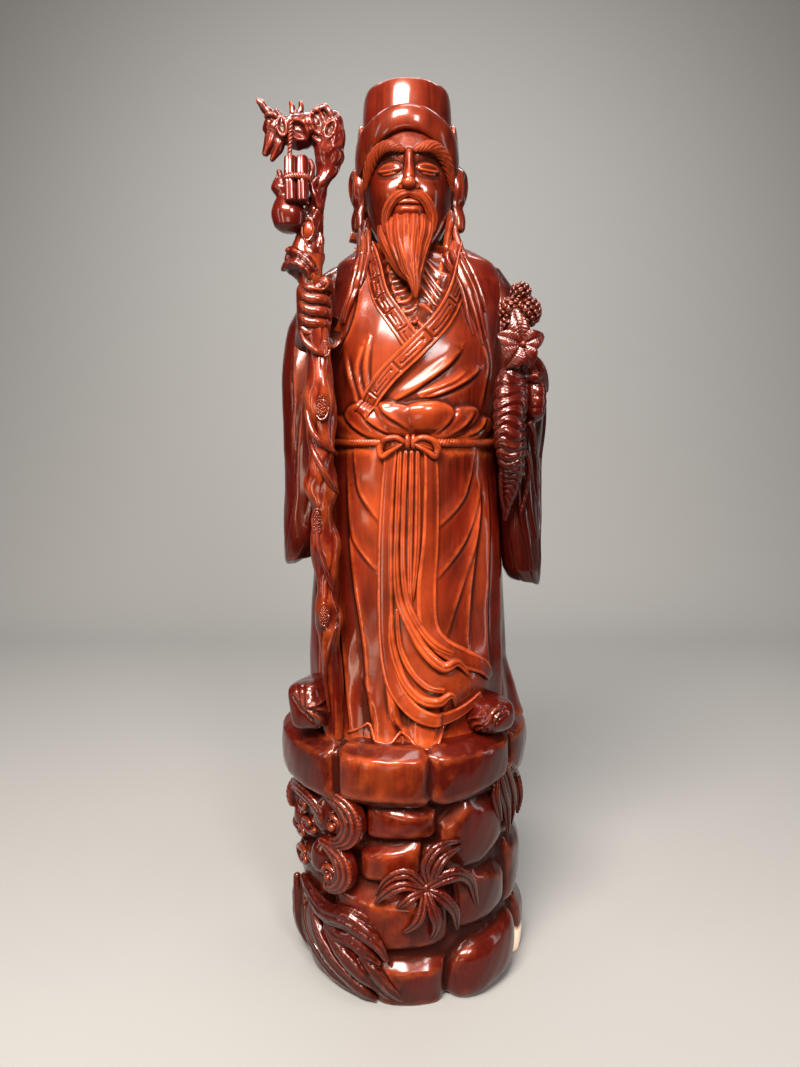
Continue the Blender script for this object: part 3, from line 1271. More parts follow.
# %% Muzzle and antlers
MUZZLE = [
    [[-132, -98, 909, 9, 8], [-136, -99, 898, 7, 7], [-140, -100, 890, 4.6, 5],
     [-143, -100, 884, 2.4, 3]],
    [[-128, -98, 904, 7, 7], [-129, -99, 892, 5, 6], [-133, -100, 884, 3.4, 4],
     [-137, -100, 879, 1.8, 2]],
    [[-124, -97, 912, 5, 5], [-133, -99, 921, 5.4, 5], [-141, -100, 928, 4.2, 4],
     [-146, -101, 934, 3.4, 3.4], [-148, -101, 937, 2, 2]],
    [[-122, -98, 918, 4, 4], [-128, -101, 923, 3, 3], [-131, -103, 927, 1.6, 1.6]],
]
for rows in MUZZLE:
    limb(bm, rows, facing=forwards, sides=28, steps=60, tip=0.1)
ANTLERS = [
    [[-113, -95, 910, 8, 6], [-113, -95, 922, 5.4, 4.6], [-115, -95, 930, 2.8, 3],
     [-117, -95, 938, 1.8, 2]],
    [[-111, -95, 914, 6, 5], [-109.5, -95, 924, 4.4, 4], [-107, -95, 930, 2.6, 3],
     [-107.4, -95, 938, 1.8, 2]],
    [[-100, -94, 914, 7, 6], [-94, -93, 924, 4, 4], [-90, -93, 930, 2, 2.4]],
]
for rows in ANTLERS:
    limb(bm, rows, facing=forwards, sides=24, steps=50, tip=0.1)
print("with muzzle and antlers", len(bm.verts), "vertices")

# %% [markdown]
# ## Brow, cheek curl and mane
# The two faces of the head are alike, so a loop makes both: a brow ridge over an eye, a curl on the cheek,
# and a lock of mane that rings the bend. The curl is a spiral whose rows wind in to their middle.

# %% Brow, curl and mane


def spiral(middle, radius, start, turns, thick):
    """Rows for a curl in the plane of x and z that winds in to its middle."""
    share = np.linspace(0, 1, 40)
    angle = np.radians(start) + TURN * turns * share
    r = radius * (1 - 0.8 * share)
    x, y, z = middle
    size = thick * (1 - 0.45 * share)
    return np.stack([x + r * np.cos(angle), y + 0 * share, z + r * np.sin(angle), size, size], axis=1)


for side, y in ((1, -106), (-1, -90)):
    ridge = [[-141, y + 2 * side, 918, 1.6, 1.6], [-136, y - 1.6 * side, 920, 2.2, 2.4],
             [-129, y, 917, 1.8, 2]]
    mane = [
        [-93, y, 921, 2, 2.4], [-83, y + side, 928, 3, 3], [-73, y + 2 * side, 915, 3.2, 3.4],
        [-67.5, y + 4 * side, 900, 3.2, 3.4], [-74, y, 890, 3, 3.2], [-86, y, 894, 2.4, 2.6],
        [-95, y + side, 900, 1.6, 2],
    ]
    limb(bm, ridge, facing=forwards, sides=16, steps=40)
    lump(bm, (-136, y, 913), (3, 2.6, 2.6))
    limb(bm, spiral((-124, y - 0.6 * side, 906), 7, 60, -1.2, 2.2), facing=forwards, sides=16, steps=80)
    limb(bm, mane, facing=forwards, sides=16, steps=110)
print("with brow, curls and mane", len(bm.verts), "vertices")

# %% [markdown]
# ## Collar of the crook, and its hollows
# Squared ridges wrap the neck where crook and staff meet. The oval hollows, where one root seems to pierce
# another, are a relief: a ring that stands up, a bowl inside it, and a knob in the middle.

# %% Dragon head
FLANGES = [
    [[-122, -102, 793, 2, 3], [-116, -109, 792, 4.5, 4.5], [-107, -113.5, 787, 5, 4.5],
     [-97, -113, 778, 5, 4.5], [-91, -108, 768, 4, 4]],
    [[-127, -100, 775, 2, 3], [-121, -107, 778, 5, 4.5], [-112, -113, 779, 5.4, 5],
     [-102, -113.5, 773, 5, 4.5], [-97, -109, 763, 4, 4]],
    [[-89, -103, 812, 1.6, 2], [-86.5, -104, 801, 2.6, 3], [-88, -105, 788, 1.6, 2]],
    [[-98, -101, 880, 2.4, 3], [-95, -106, 868, 3.6, 3.6], [-98, -108, 858, 3.2, 3],
     [-93, -106, 847, 2.6, 3]],
    [[-89, -102, 864, 2.4, 3], [-95, -108, 852, 3, 3], [-91, -107, 840, 3.6, 3.4],
     [-87, -103, 830, 2.4, 3]],
]
lump(bm, (-109, -100, 782), (15, 11, 17), turn=(0, -20, 0))
for rows in FLANGES:
    limb(bm, rows, facing=forwards, sides=24, steps=80, square=1.4, tip=0.1)
KNOTS = [
    (-89, 913, 6.5, 12, 20), (-77, 906, 4.5, 9, -20), (-109, 906, 8, 11, 60), (-100, 812, 5.5, 11, -5),
    (-124, 909, 4.5, 9, 10),
]


def knotted(points, normals):
    """Oval hollows with a rim and a knob in the middle, as where a root was pierced by another."""
    x, y, z = points.T
    total = waves(points, (17, 11), 0.9)
    for cx, cz, wide, high, lean in KNOTS:
        c, s = math.cos(math.radians(lean)), math.sin(math.radians(lean))
        ring = np.hypot(((x - cx) * c + (z - cz) * s) / wide, ((z - cz) * c - (x - cx) * s) / high)
        rim = 1.5 * np.exp(-(((ring - 1) / 0.2) ** 2))
        bowl = 2.8 * np.exp(-((ring / 0.66) ** 4))
        knob = 1.3 * np.exp(-((ring / 0.3) ** 2))
        total += (rim - bowl + knob) * step(abs(normals[:, 1]), 0.2, 0.6)
    return total


carve("dragon_head", bm, voxel=0.93, soften=2, relief=knotted, worn=-0.15)

# %% [markdown]
# ## Gourd and book rolls
# A physician's gourd and a pair of book rolls hang from the dragon's neck on a twisted cord. The gourd has
# no ornament, so a barrel of a few rings is all it needs. Each roll is a limb with one page edge cut down
# its front, drawn in where a plaited band ties both. Plait and cord are two strands half a turn apart.

# %% Gourd and rolls
GOURD = [
    [809, -118, -106, 8, 8], [815, -118, -106, 15, 14], [827, -118.5, -106, 17.5, 16.5],
    [837, -119.5, -106, 14, 13.6], [843, -121.5, -106, 9.4, 9.4], [851, -124.5, -105, 11.4, 11.4],
    [859, -126, -105, 7.4, 7.4], [864, -127, -105, 3.4, 3.4], [870, -128, -104, 2.6, 2.6],
]
BOOK_ROLLS = [(-115, 6.7), (-103.8, 6.2)]
STRANDS = (0, math.pi)


def rolled(c, s, t):
    """Drawn in at the tie, with the page's edge cut down the front."""
    return -1.5 * np.exp(-(((t - 0.5) / 0.035) ** 2)) - 1.2 * cut_line(c - 0.3, 0.16) * (s > 0)


bm = bmesh.new()
barrel(bm, GOURD, sides=90, steps=110, tip=0.03)
for x, half in BOOK_ROLLS:
    roll = [
        [x, -114, 878, half - 0.5, 8.5], [x + 0.3, -117, 856, half, 9.5],
        [x + 0.6, -119, 833, half - 0.4, 8.5],
    ]
    limb(bm, roll, facing=forwards, sides=60, steps=110, square=2.3, tip=0.08, carved=rolled)
turn = np.linspace(-0.2, math.pi + 0.2, 90)
drop = np.linspace(0, 1, 80)
for phase in STRANDS:
    across = -109.2 - 12.2 * np.cos(turn)
    forth = -117 - 9.2 * np.sin(turn) + 0.9 * np.cos(16 * turn + phase)
    thick = 0 * turn + 1.7
    plait = np.stack([across, forth, 856.5 + 1.7 * np.sin(16 * turn + phase), thick, thick], axis=1)
    limb(bm, plait, sides=12, steps=180, tip=0.01)
for phase in STRANDS:
    across = -114.5 + 1.1 * np.cos(34 * drop + phase) - 1.5 * drop
    forth = -111 - 4 * drop - 1.0 * np.sin(34 * drop + phase)
    thick = 0 * drop + 1.35
    cord = np.stack([across, forth, 915 - 40 * drop, thick, thick], axis=1)
    limb(bm, cord, facing=forwards, sides=12, steps=160, tip=0.02)
carve("gourd_and_rolls", bm, worn=-0.2)

# %% [markdown]
# ## Ginseng root
# The root is scored all round with deep uneven rings that end in claws, and its tail trails down the
# sleeve. It is one limb of many steps, because the rings are cut by a function of how far along it a
# vertex lies. A grooved stalk leaves its top and runs up behind the leaves.

# %% Ginseng root


def ringed(c, s, t):
    """Deep uneven rings that lean and fork as they go round the root."""
    angle = np.arctan2(s, c)
    phase = 60 * t + 1.2 * np.sin(angle + 3 * t) + 0.8 * np.sin(3 * angle + 19 * t)
    rings = np.sqrt(abs(np.sin(phase)))
    claws = step(np.sin(2.5 * angle + 13 * t), -0.2, 0.8)
    fade = 1 - 0.75 * step(t, 0.72, 0.85)
    fine = np.sqrt(abs(np.sin(2 * phase + 1.3 * np.sin(2 * angle))))
    deep = 3.2 * (rings - 0.75) * (0.6 + 0.4 * claws)
    return fade * (deep + 0.7 * fine + 0.8 * np.sin(4 * angle + 6 * t))


def rootlet_rings(c, s, t):
    """Shallow rings on the side roots."""
    return 0.7 * (np.sqrt(abs(np.sin(34 * t + 2 * c))) - 0.7)


ROOT = [
    [109, -80, 678, 12, 10], [106, -86, 665, 19.5, 14], [104.5, -91, 646, 21, 16],
    [104, -92, 628, 21, 15], [105, -92, 609, 20, 14.5], [107, -89, 591, 17.5, 13.5],
    [110, -84, 577, 11.5, 11.5], [110, -77, 564, 8, 9], [109, -70, 550, 5.5, 7],
    [107, -62, 536, 3.4, 4.5],
    [105, -56, 519, 1.4, 2],
]
STALK = [[113, -80, 662, 6, 6], [115, -88, 684, 6, 6], [116, -90, 702, 6, 6], [116, -78, 730, 7, 7]]
ROOTLETS = [
    [[120, -86, 596, 4, 4], [127, -80, 580, 2.8, 3], [126, -72, 556, 2, 2], [121, -66, 530, 1, 1.4]],
    [[103, -86, 588, 3.6, 4], [98, -80, 572, 2.4, 3], [99, -72, 548, 1.6, 2], [103, -66, 530, 0.9, 1.2]],
    [[124, -88, 626, 3.6, 3.6], [131, -82, 612, 2.4, 2.6], [133, -74, 592, 1.2, 1.6]],
]
bm = bmesh.new()
limb(bm, ROOT, sides=92, steps=350, tip=0.02, carved=ringed)
for rows in ROOTLETS:
    limb(bm, rows, sides=28, steps=120, tip=0.05, carved=rootlet_rings)
limb(bm, STALK, sides=32, steps=80, carved=grooved)
carve("ginseng_root", bm, worn=-0.4)

# %% [markdown]
# ## Ginseng leaves
# Five leaves open flat in front like a star, with a big one drooping at the side and a small one below. A
# leaf is a limb that is wide and thin, with a rib cut down it, side veins and raised edges.

# %% Ginseng leaves


def leaf(bm, base, turn, length, wide, rise=4.0, droop=8.0, thick=1.4):
    """A pointed leaf with a rib and side veins, laid out from its stalk at a turn from the right."""
    x, y, z = base
    share = np.linspace(0, 1, 20)
    heading = np.radians(turn + 0 * share)
    ax, az = (np.cumsum(way(heading)) / 20 for way in (np.cos, np.sin))
    width = wide * np.sin(np.pi * np.clip(0.06 + 0.94 * share**0.8, 0, 1)) ** 0.75 + 0.5
    out = rise * np.sin(np.pi * share) - droop * share**2
    rows = np.stack([x + ax * length, y - out, z + az * length, width, 0 * share + thick], axis=1)

    def veined(c, s, t):
        """A rib, side veins, and edges that stand up."""
        rib = -1.3 * cut_line(c, 0.13)
        veins = -0.3 * cut_line(np.sin(30 * t + 4 * abs(c)), 0.5) * (abs(c) > 0.1)
        return np.where(s > 0, rib + veins + 1.2 * abs(c) ** 1.5, 0)

    return limb(bm, rows, facing=forwards, sides=44, steps=90, square=2.2, tip=0.03, carved=veined)


STAR = [(103, 36, 8.5), (159, 27, 9), (24, 23, 9), (234, 28, 11), (295, 23, 9.5)]
bm = bmesh.new()
for turn, length, wide in STAR:
    leaf(bm, (114, -104, 702), turn, length, wide, rise=3, droop=3)
leaf(bm, (119, -92, 688), 205, 22, 5)
leaf(bm, (121, -90, 694), -54, 44, 7, rise=3, droop=30, thick=2.4)
lump(bm, (114, -107, 702), (3, 3, 3), fine=3)
carve("ginseng_leaves", bm, worn=-0.3)

# %% [markdown]
# ## Ginseng berries
# The berries sit in four heads over the leaves. Each is a small ball pressed in at its tip, and the golden
# angle spreads them evenly over a head, as seeds are spread in a sunflower.

# %% Ginseng berries
GOLDEN_ANGLE = math.pi * (3 - math.sqrt(5))
BERRY_HEADS = [
    ((105, -80, 739), (12, 11, 13), 54), ((122.5, -79, 738), (12.5, 11, 14), 58),
    ((115, -77, 758), (9.5, 9, 9), 34), ((104, -84, 723), (8, 9, 9), 24),
]


def dimpled(points):
    """A small ball pressed in at its tip, as a dried berry is."""
    depth = np.exp(-((np.hypot(points[:, 0], points[:, 2]) / 0.42) ** 2)) * (points[:, 1] < 0)
    return points + np.stack([0 * depth, 0.75 * depth, 0 * depth], axis=1)


bm = bmesh.new()
for middle, halves, count in BERRY_HEADS:
    lump(bm, middle, np.array(halves) - 2.0, fine=3)
    for k in range(count):
        up = 1 - 2 * (k + 0.5) / count
        r = math.sqrt(1 - up * up)
        way = np.array([r * math.cos(GOLDEN_ANGLE * k), r * math.sin(GOLDEN_ANGLE * k), up])
        spot = np.array(middle) + way * halves
        turn = (math.degrees(math.asin(-up)), 0, math.degrees(math.atan2(way[1], way[0])) + 90)
        lump(bm, spot, (2.9, 2.9, 2.9), turn=turn, fine=3, shaped=dimpled)
carve("ginseng_berries", bm, worn=-0.4)

# %% [markdown]
# ## Shoes
# Two broad cloth shoes show under the hem, turned outwards, each with cloud curls carved on its toe. They
# are soft boxes, remeshed, and the curls are raised as welts along paths of x and z read off the front.

# %% Shoes
bm = bmesh.new()
lump(bm, (-100, -78, 325), (20, 31, 26), power=5, turn=(0, -9, -26), fine=5)
lump(bm, (85, -76, 312), (26, 34, 20), power=2.6, turn=(0, 0, 24), fine=5)
SHOE_CURLS = [
    ([(-123, 342), (-116, 334), (-110, 326), (-102, 320), (-96, 310)], 3.5, 5, 1.6),
    ([(-115, 348), (-111, 336), (-107, 329), (-101, 323), (-95, 315), (-90, 306)], 5.0, 5, 2.0),
    ([(-107, 346), (-104, 332), (-97, 327), (-89, 320), (-82, 308)], 4.6, 5, 2.0),
    ([(-104, 331), (-95, 332), (-83, 335)], 3.6, 6, 1.8),
    ([(84, 302), (85, 312), (88, 320), (96, 325), (106, 327)], 3.2, 5, 1.6),
    ([(87, 306), (92, 316), (102, 322)], 2.6, 4, 1.5),
    ([(68, 297), (71, 306), (78, 309), (84, 306)], 2.4, 4, 1.4),
    ([(73, 294), (75, 302), (80, 305)], 2.0, 3, 1.3),
    ([(62, 300), (66, 311), (76, 316)], 2.0, 4, 1.4),
]


def curled(points, normals):
    """Cloud curls over the toes."""
    total = waves(points, (30, 18), 0.5)
    for path, high, soft, sharp in SHOE_CURLS:
        x, z = along(path, np.linspace(0, 1, 60)).T
        centre = -100 if x[0] < 0 else 85
        flat = np.stack([x, 0 * x, z], axis=1)
        seen = points * (1, 0, 1)
        lifted = welt(seen, flat, high, soft, sharp, 1.4, middle=(centre, 60))
        total += lifted * step(-normals[:, 1], 0.1, 0.4)
    return total


carve("shoes", bm, voxel=1.15, soften=2, relief=curled, worn=-0.3)

# %% [markdown]
# ## Rocks
# The figure stands on a ring of flat ledge stones over uneven courses of rock, carved as if fitted round a
# drum. Each stone is a cube, cut into a fine mesh, rounded to a soft box, chipped flat at a few corners,
# and bent round the drum. One remesh joins them, and the joints stay as grooves.

# %% Stones
LEDGE_TOP = 290


def stone(bm, turns, rises, face, tilt=0.0, power=9.0, chips=(), deep=30, bulge=2.0):
    """A stone on the drum between two turns in degrees and two heights, with its face that far out."""
    start = len(bm.verts)
    made = bmesh.ops.create_cube(bm, size=2)["verts"]
    edges = list({edge for vertex in made for edge in vertex.link_edges})
    bmesh.ops.subdivide_edges(bm, edges=edges, cuts=22, use_grid_fill=True)
    bm.verts.ensure_lookup_table()
    made = bm.verts[start:]
    points = np.array([vertex.co[:] for vertex in made])
    points /= (abs(points) ** power).sum(1)[:, None] ** (1 / power)
    for *way, depth in chips:
        way = unit(np.array(way, float))
        points -= np.maximum(points @ way - depth, 0)[:, None] * way
    first, last = np.radians(turns)
    turn = (first + last) / 2 + points[:, 0] * (last - first) / 2
    radius = face - deep + points[:, 1] * deep + bulge * (1 - points[:, 0] ** 2) * (1 - points[:, 2] ** 2)
    slope = math.tan(math.radians(tilt)) * points[:, 0] * face * (last - first) / 2
    height = sum(rises) / 2 + points[:, 2] * (rises[1] - rises[0]) / 2 + slope
    for vertex, point in zip(made,
                             np.stack([radius * np.cos(turn), radius * np.sin(turn), height], axis=1)):
        vertex.co = point


bm = bmesh.new()
CORE = [[0, -2, 0, 127, 121], [80, -2, 0, 125, 119], [150, 0, 0, 120, 116], [225, 0, 0, 124, 119],
        [285, 0, 0, 134, 129]]
barrel(bm, CORE, sides=120, steps=60, tip=0.01)
TOP_EDGE = (0, 0.62, 0.8, 1.12)
FOOT_EDGE = (0, 0.8, -0.6, 1.2)
LEDGE_STONES = [
    ((-121.5, -80), (227, 291), 142, 0, [TOP_EDGE, FOOT_EDGE]),
    ((-79, -33), (230, 292), 142, 1, [TOP_EDGE, (0.1, 0.8, -0.5, 1.18)]),
    ((-172, -122.5), (226, 294), 146, -4, [TOP_EDGE, (0, 0.7, -0.7, 1.2)]),
    ((-32, 20), (233, 293), 142, 0, [TOP_EDGE, (0.2, 0.8, -0.3, 1.16)]),
    ((21, 70), (228, 290), 140, 1, [TOP_EDGE, FOOT_EDGE]),
    ((71, 126), (230, 291), 140, -1, [TOP_EDGE, FOOT_EDGE]),
    ((127, 187), (226, 288), 143, 0, [TOP_EDGE, (0.3, 0.8, -0.4, 1.2)]),
]
for turns, rises, face, tilt, chips in LEDGE_STONES:
    stone(bm, turns, rises, face - 2.5, tilt, 10, chips, bulge=5)
FRONT_STONES = [
    ((-112, -76), (186, 232), 130, 2, [(0.2, 0.75, 0.6, 1.0), (0, 0.8, -0.7, 1.2)]),
    ((-75, -33), (147, 236), 131, -2,
     [(-0.6, 0.6, 0.6, 1.12), (0.15, 0.8, 0.5, 1.08), (0.3, 0.8, -0.5, 1.2)]),
    ((-32, 10), (160, 234), 129, 2, [(0.1, 0.8, 0.6, 1.1)]),
    ((-116, -83), (138, 187), 127, 5, [(-0.1, 0.75, 0.65, 1.02), (0.2, 0.7, -0.7, 1.2)]),
    ((-82, -76), (140, 178), 124, 0, []),
    ((-132, -69), (62, 139), 131, 5, [(0.15, 0.75, 0.65, 1.0), (-0.3, 0.8, -0.5, 1.2)]),
    ((-68, -30), (78, 147), 130, -3, [(0.2, 0.8, 0.5, 1.12), (0.3, 0.7, -0.5, 1.25)]),
    ((-29, 12), (76, 160), 132, 3, [(0, 0.8, 0.5, 1.12)]),
    ((-113, -71), (-8, 58), 132, 2, [(0, 0.7, 0.75, 1.04), (-0.5, 0.8, -0.2, 1.2)]),
    ((-17, 14), (-8, 76), 138, 2, [(0, 0.8, 0.5, 1.12)]),
    ((-176, -134), (96, 160), 128, 0, [(0, 0.8, 0.5, 1.12)]),
    ((-172, -134), (-8, 94), 130, 0, [(0, 0.8, 0.5, 1.12)]),
    ((-178, -113), (161, 232), 125, 0, [(0, 0.8, 0.5, 1.12)]),
    ((-133, -114), (-8, 60), 128, 0, []),
]
for turns, rises, face, tilt, chips in FRONT_STONES:
    stone(bm, turns, rises, face - 2, tilt, 6.5, chips, bulge=4.5)
stone(bm, (-70, -17), (-3, 68), 137, 7, 3.4, [(0.5, 0.7, -0.2, 1.2)], bulge=4)
BACK_FACE = 128
BACK_STONES = [
    ((11, 52), (158, 232)), ((53, 98), (166, 230)), ((99, 140), (154, 232)), ((141, 183), (162, 230)),
    ((13, 42), (80, 157)), ((43, 84), (86, 165)), ((85, 132), (76, 153)), ((133, 180), (88, 161)),
    ((15, 58), (-8, 79)), ((59, 100), (-8, 85)), ((101, 146), (-8, 75)), ((147, 187), (-8, 87)),
]
for i, (turns, rises) in enumerate(BACK_STONES):
    chips = [(0.8 * math.sin(5 * i), 0.8, 0.5, 1.1), (0.8 * math.cos(3 * i), 0.7, -0.5, 1.15)]
    stone(bm, turns, rises, BACK_FACE + 1.5 * math.sin(2.2 * i), 3 * math.sin(1.9 * i), 10, chips)
lump(bm, (-112, 16, 300), (20, 46, 18), power=2.8, fine=5)


def rock_relief(points, normals):
    """The unevenness that a gouge leaves, and a finer one that runs across the drum."""
    x, y, z = points.T
    around = np.arctan2(y, x) * 120
    chipped = np.stack([around, 0 * around, z], axis=1)
    return waves(points, (64, 37, 23), 0.7) + waves(chipped, (19, 13), 0.05)


def flat_foot(points):
    """The drum leans a little at the ledge, draws in at the foot, and nothing reaches below the table."""
    points[:, 0] -= 4 * step(points[:, 2], 215, 245)
    points[:, :2] *= 1 - 0.05 * step(60 - points[:, 2:3], 0, 60) * step(90 - points[:, :1], 0, 60)
    points[:, 2] = np.maximum(points[:, 2], 0)


carve("rock_base", bm, voxel=2.6, soften=2, relief=rock_relief, last=flat_foot, worn=-0.32, dull=0.3)

# %% [markdown]
# ## Clouds
# Scrolls of cloud drift over the left of the rocks. Each is a fan of rounded shells, hatched with fine
# cuts, that opens round a bead, and small curls fill the edge. They are drawn on the drum: x and z are
# read off the front view, and the depth comes from the drum's radius.

# %% Clouds
DRUM = 128


def on_drum(x, z, lift=0.0):
    """y on the front of the drum."""
    radius = DRUM + lift
    return -np.sqrt(np.maximum(radius**2 - np.asarray(x, float) ** 2, 40.0**2))


def fan(bm, x, z, radius, start, end, half, seed=0.0):
    """A crescent of rounded shells that opens round a bead, hatched with fine cuts across the shells."""
    share = np.linspace(0, 1, 30)
    angle = np.radians(start + (end - start) * share)
    full = np.sin(np.pi * np.clip(share, 0.06, 0.94)) ** 0.5
    reach = radius - half * full
    ax, az = x + reach * np.cos(angle), z + reach * np.sin(angle)
    rows = np.stack([ax, on_drum(ax, az, 4), az, half * full, 4 + 6 * full], axis=1)
    way = 1 if end > start else -1

    def shells(c, s, t):
        """Rounded shells side by side, each hatched across."""
        level = 4 * (1 - way * c) / 2
        shell = 3.8 * (np.sqrt(abs(np.sin(np.pi * level))) - 0.7)
        hatch = 0.9 * (np.sqrt(abs(np.sin(radius * 2.6 * t + 2 * level + seed))) - 0.6)
        return np.where(s > 0, (shell + hatch) * (1 - 0.9 * abs(c) ** 8), 0)

    limb(bm, rows, sides=120, steps=int(120 + 4 * radius), square=2.6, tip=0.05, carved=shells)


def curl(bm, x, z, radius, start, turns, thick):
    """A small scroll of cloud."""
    rows = spiral((x, 0, z), radius, start, turns, thick)
    rows[:, 1] = on_drum(rows[:, 0], rows[:, 2], 6)
    limb(bm, rows, sides=20, steps=110, tip=0.08)


FANS = [(-77, 204, 33, 124, -106, 14), (-84, 149, 30, 118, -106, 12.5), (-113, 202, 25, 222, -24, 8.5)]
FAN_BEADS = [(-82, 196), (-87, 137)]
CURLS = [
    (-121, 200, 10, 90, 1.3), (-101, 209, 10, 90, -1.3), (-120, 135, 9.5, 60, 1.2),
    (-107, 147, 8.5, 90, -1.2), (-97, 143, 6, 40, -1.0), (-112, 181, 9, 10, -1.1),
    (-123, 166, 9, 120, 1.1),
]
BACKING = [(-112, 204), (-118, 178), (-113, 160), (-112, 138), (-100, 176)]
bm = bmesh.new()
for x, z, radius, start, end, half in FANS:
    fan(bm, x, z, radius, start, end, half, seed=x)
    lump(bm, (x, on_drum(x, z, -10), z), (radius - 6, 13, radius - 6), power=2.4)
for x, z in FAN_BEADS:
    lump(bm, (x, on_drum(x, z, 10), z), (4.8, 5, 4.8))
    curl(bm, x, z, 10, 110, -1.0, 3.4)
for x, z, radius, start, turns in CURLS:
    curl(bm, x, z, radius, start, turns, 3.8)
    lump(bm, (x, on_drum(x, z, 5), z), (3.8, 4, 3.8))
for x, z in BACKING:
    lump(bm, (x, on_drum(x, z, -9), z), (14, 13, 15), power=2.4)
carve("clouds", bm, voxel=1.12, soften=1, worn=-0.15)

# %% [markdown]
# ## Water
# Water breaks below the clouds in long ropes that run to the foot. A stream is a wide flat limb along a
# path of x, z and half width on the drum, and its strands are a wave that drifts across it as it runs.

# %% Water


def roped(c, s, t):
    """Long strands side by side, which drift across the stream as it runs."""
    return np.where(s > 0, 2.2 * (np.sqrt(abs(np.sin(4.4 * c + 2.6 * t + 0.5 * np.sin(7 * t)))) - 0.7), 0)


STREAMS = [
    ([(-121, 112, 3), (-106, 100, 9), (-90, 92, 11), (-67, 95, 12), (-50, 89, 11), (-34, 76, 8),
      (-22, 56, 1.5)], 8),
    ([(-94, 84, 3), (-78, 72, 9), (-59, 72, 10), (-45, 62, 8), (-30, 50, 1.5)], 6),
    ([(-92, 76, 3), (-71, 54, 10), (-52, 36, 10), (-37, 20, 2)], 8),
    ([(-52, 58, 3), (-34, 39, 9), (-20, 22, 8), (-7, 7, 1.5)], 7),
    ([(-64, 56, 3), (-46, 35, 9), (-31, 18, 7), (-20, 7, 1.5)], 4),
    ([(-109, 90, 4), (-99, 60, 10), (-86, 40, 11), (-69, 25, 10), (-51, 12, 8), (-36, 4, 2)], 6),
    ([(-120, 96, 4), (-116, 50, 10), (-105, 29, 10), (-87, 16, 9), (-66, 8, 6), (-50, 3, 2)], 2),
    ([(-130, 104, 3), (-128, 62, 9), (-125, 32, 9), (-116, 12, 7), (-104, 3, 2)], -2),
    ([(-76, 104, 2), (-60, 106, 5), (-46, 102, 5), (-34, 92, 1.5)], 6),
]
bm = bmesh.new()
for path, lift in STREAMS:
    path = along(path, np.linspace(0, 1, 30))
    x, z, half = path.T
    rows = np.stack([x, on_drum(x, z, lift - 3), z, half, 2 + 0.6 * half], axis=1)
    limb(bm, rows, sides=72, steps=190, tip=0.03, carved=roped)


def water_relief(points, normals):
    """Small uneven swells."""
    return waves(points, (19, 12), 0.4)


carve("water", bm, voxel=1.1, soften=2, relief=water_relief, last=flat_foot, worn=-0.45, dull=0.15)

# %% [markdown]
# ## Leaf sprays
# A spray of long folded leaves springs from a bud in the middle of the rocks, and another hangs at the
# right. Each leaf arches off the drum and comes back to it at its tip, so it casts its own shadow.

# %% Leaf sprays
FRONDS = [
    ([(20, 150), (17, 168), (25, 184), (38, 190), (54, 187)], 5.5, 8),
    ([(24, 148), (29, 166), (38, 177), (54, 181)], 5, 9),
    ([(15, 146), (1, 161), (-14, 160), (-25, 149), (-34, 130)], 6, 8),
    ([(14, 142), (-3, 149), (-18, 145), (-28, 134), (-35, 121)], 5.5, 10),
    ([(20, 144), (37, 154), (53, 155), (66, 140), (74, 107)], 8, 9),
    ([(14, 140), (2, 137), (-6, 130), (-11, 120)], 4.5, 11),
    ([(16, 138), (13, 120), (6, 106), (-6, 92)], 5, 10),
    ([(20, 140), (36, 132), (48, 114), (52, 88)], 6.5, 9),
    ([(18, 138), (25, 121), (29, 104), (24, 84)], 5.5, 12),
]


HANGING_FRONDS = [
    ([(97, 250), (101, 228), (109, 200), (113, 166)], 6),
    ([(104, 254), (112, 228), (118, 200), (117, 172)], 6),
    ([(109, 256), (120, 232), (127, 204), (126, 180)], 6),
    ([(95, 244), (94, 224), (98, 206), (102, 190)], 4.5),
]


def frond(bm, path, wide, rise):
    """A long leaf that arches off the drum along a path of [x, z] and comes back to it at its tip."""
    share = np.linspace(0, 1, 24)
    x, z = along(path, share).T
    y = on_drum(x, z, 0) - 3 - 6 * (1 - share) - rise * np.sin(np.pi * share)
    width = wide * np.sin(np.pi * np.clip(0.12 + 0.88 * share**0.9, 0, 1)) ** 0.8 + 0.4

    def folded(c, s, t):
        """Two rounded halves with a cut between them and fine veins across."""
        halves = 1.5 * (1 - (2 * abs(c) - 1) ** 2) - 1.2 * cut_line(c, 0.12)
        veins = -0.35 * cut_line(np.sin(44 * t - 5 * abs(c)), 0.5)
        return np.where(s > 0, halves + veins, 0)

    rows = np.stack([x, y, z, width, 0 * x + 2.6], axis=1)
    limb(bm, rows, facing=forwards, sides=44, steps=108, tip=0.03, carved=folded)


bm = bmesh.new()
for path, wide, rise in FRONDS:
    frond(bm, path, wide, rise)
lump(bm, (18, on_drum(18, 143, 10), 143), (5, 4, 5))
lump(bm, (18, on_drum(18, 141, -4), 141), (12, 12, 12))
for path, wide in HANGING_FRONDS:
    frond(bm, path, wide, 3)
lump(bm, (103, on_drum(103, 250, -2), 252), (12, 12, 8))
carve("leaf_sprays", bm, worn=-0.4)

# %% [markdown]
# ## Sums in a material
# A finish is worked out from a few masks, and each step is a node. One small class wraps a socket, so that
# a sum can be written as Python writes it, and one method makes any other node.

# %% Shader sums


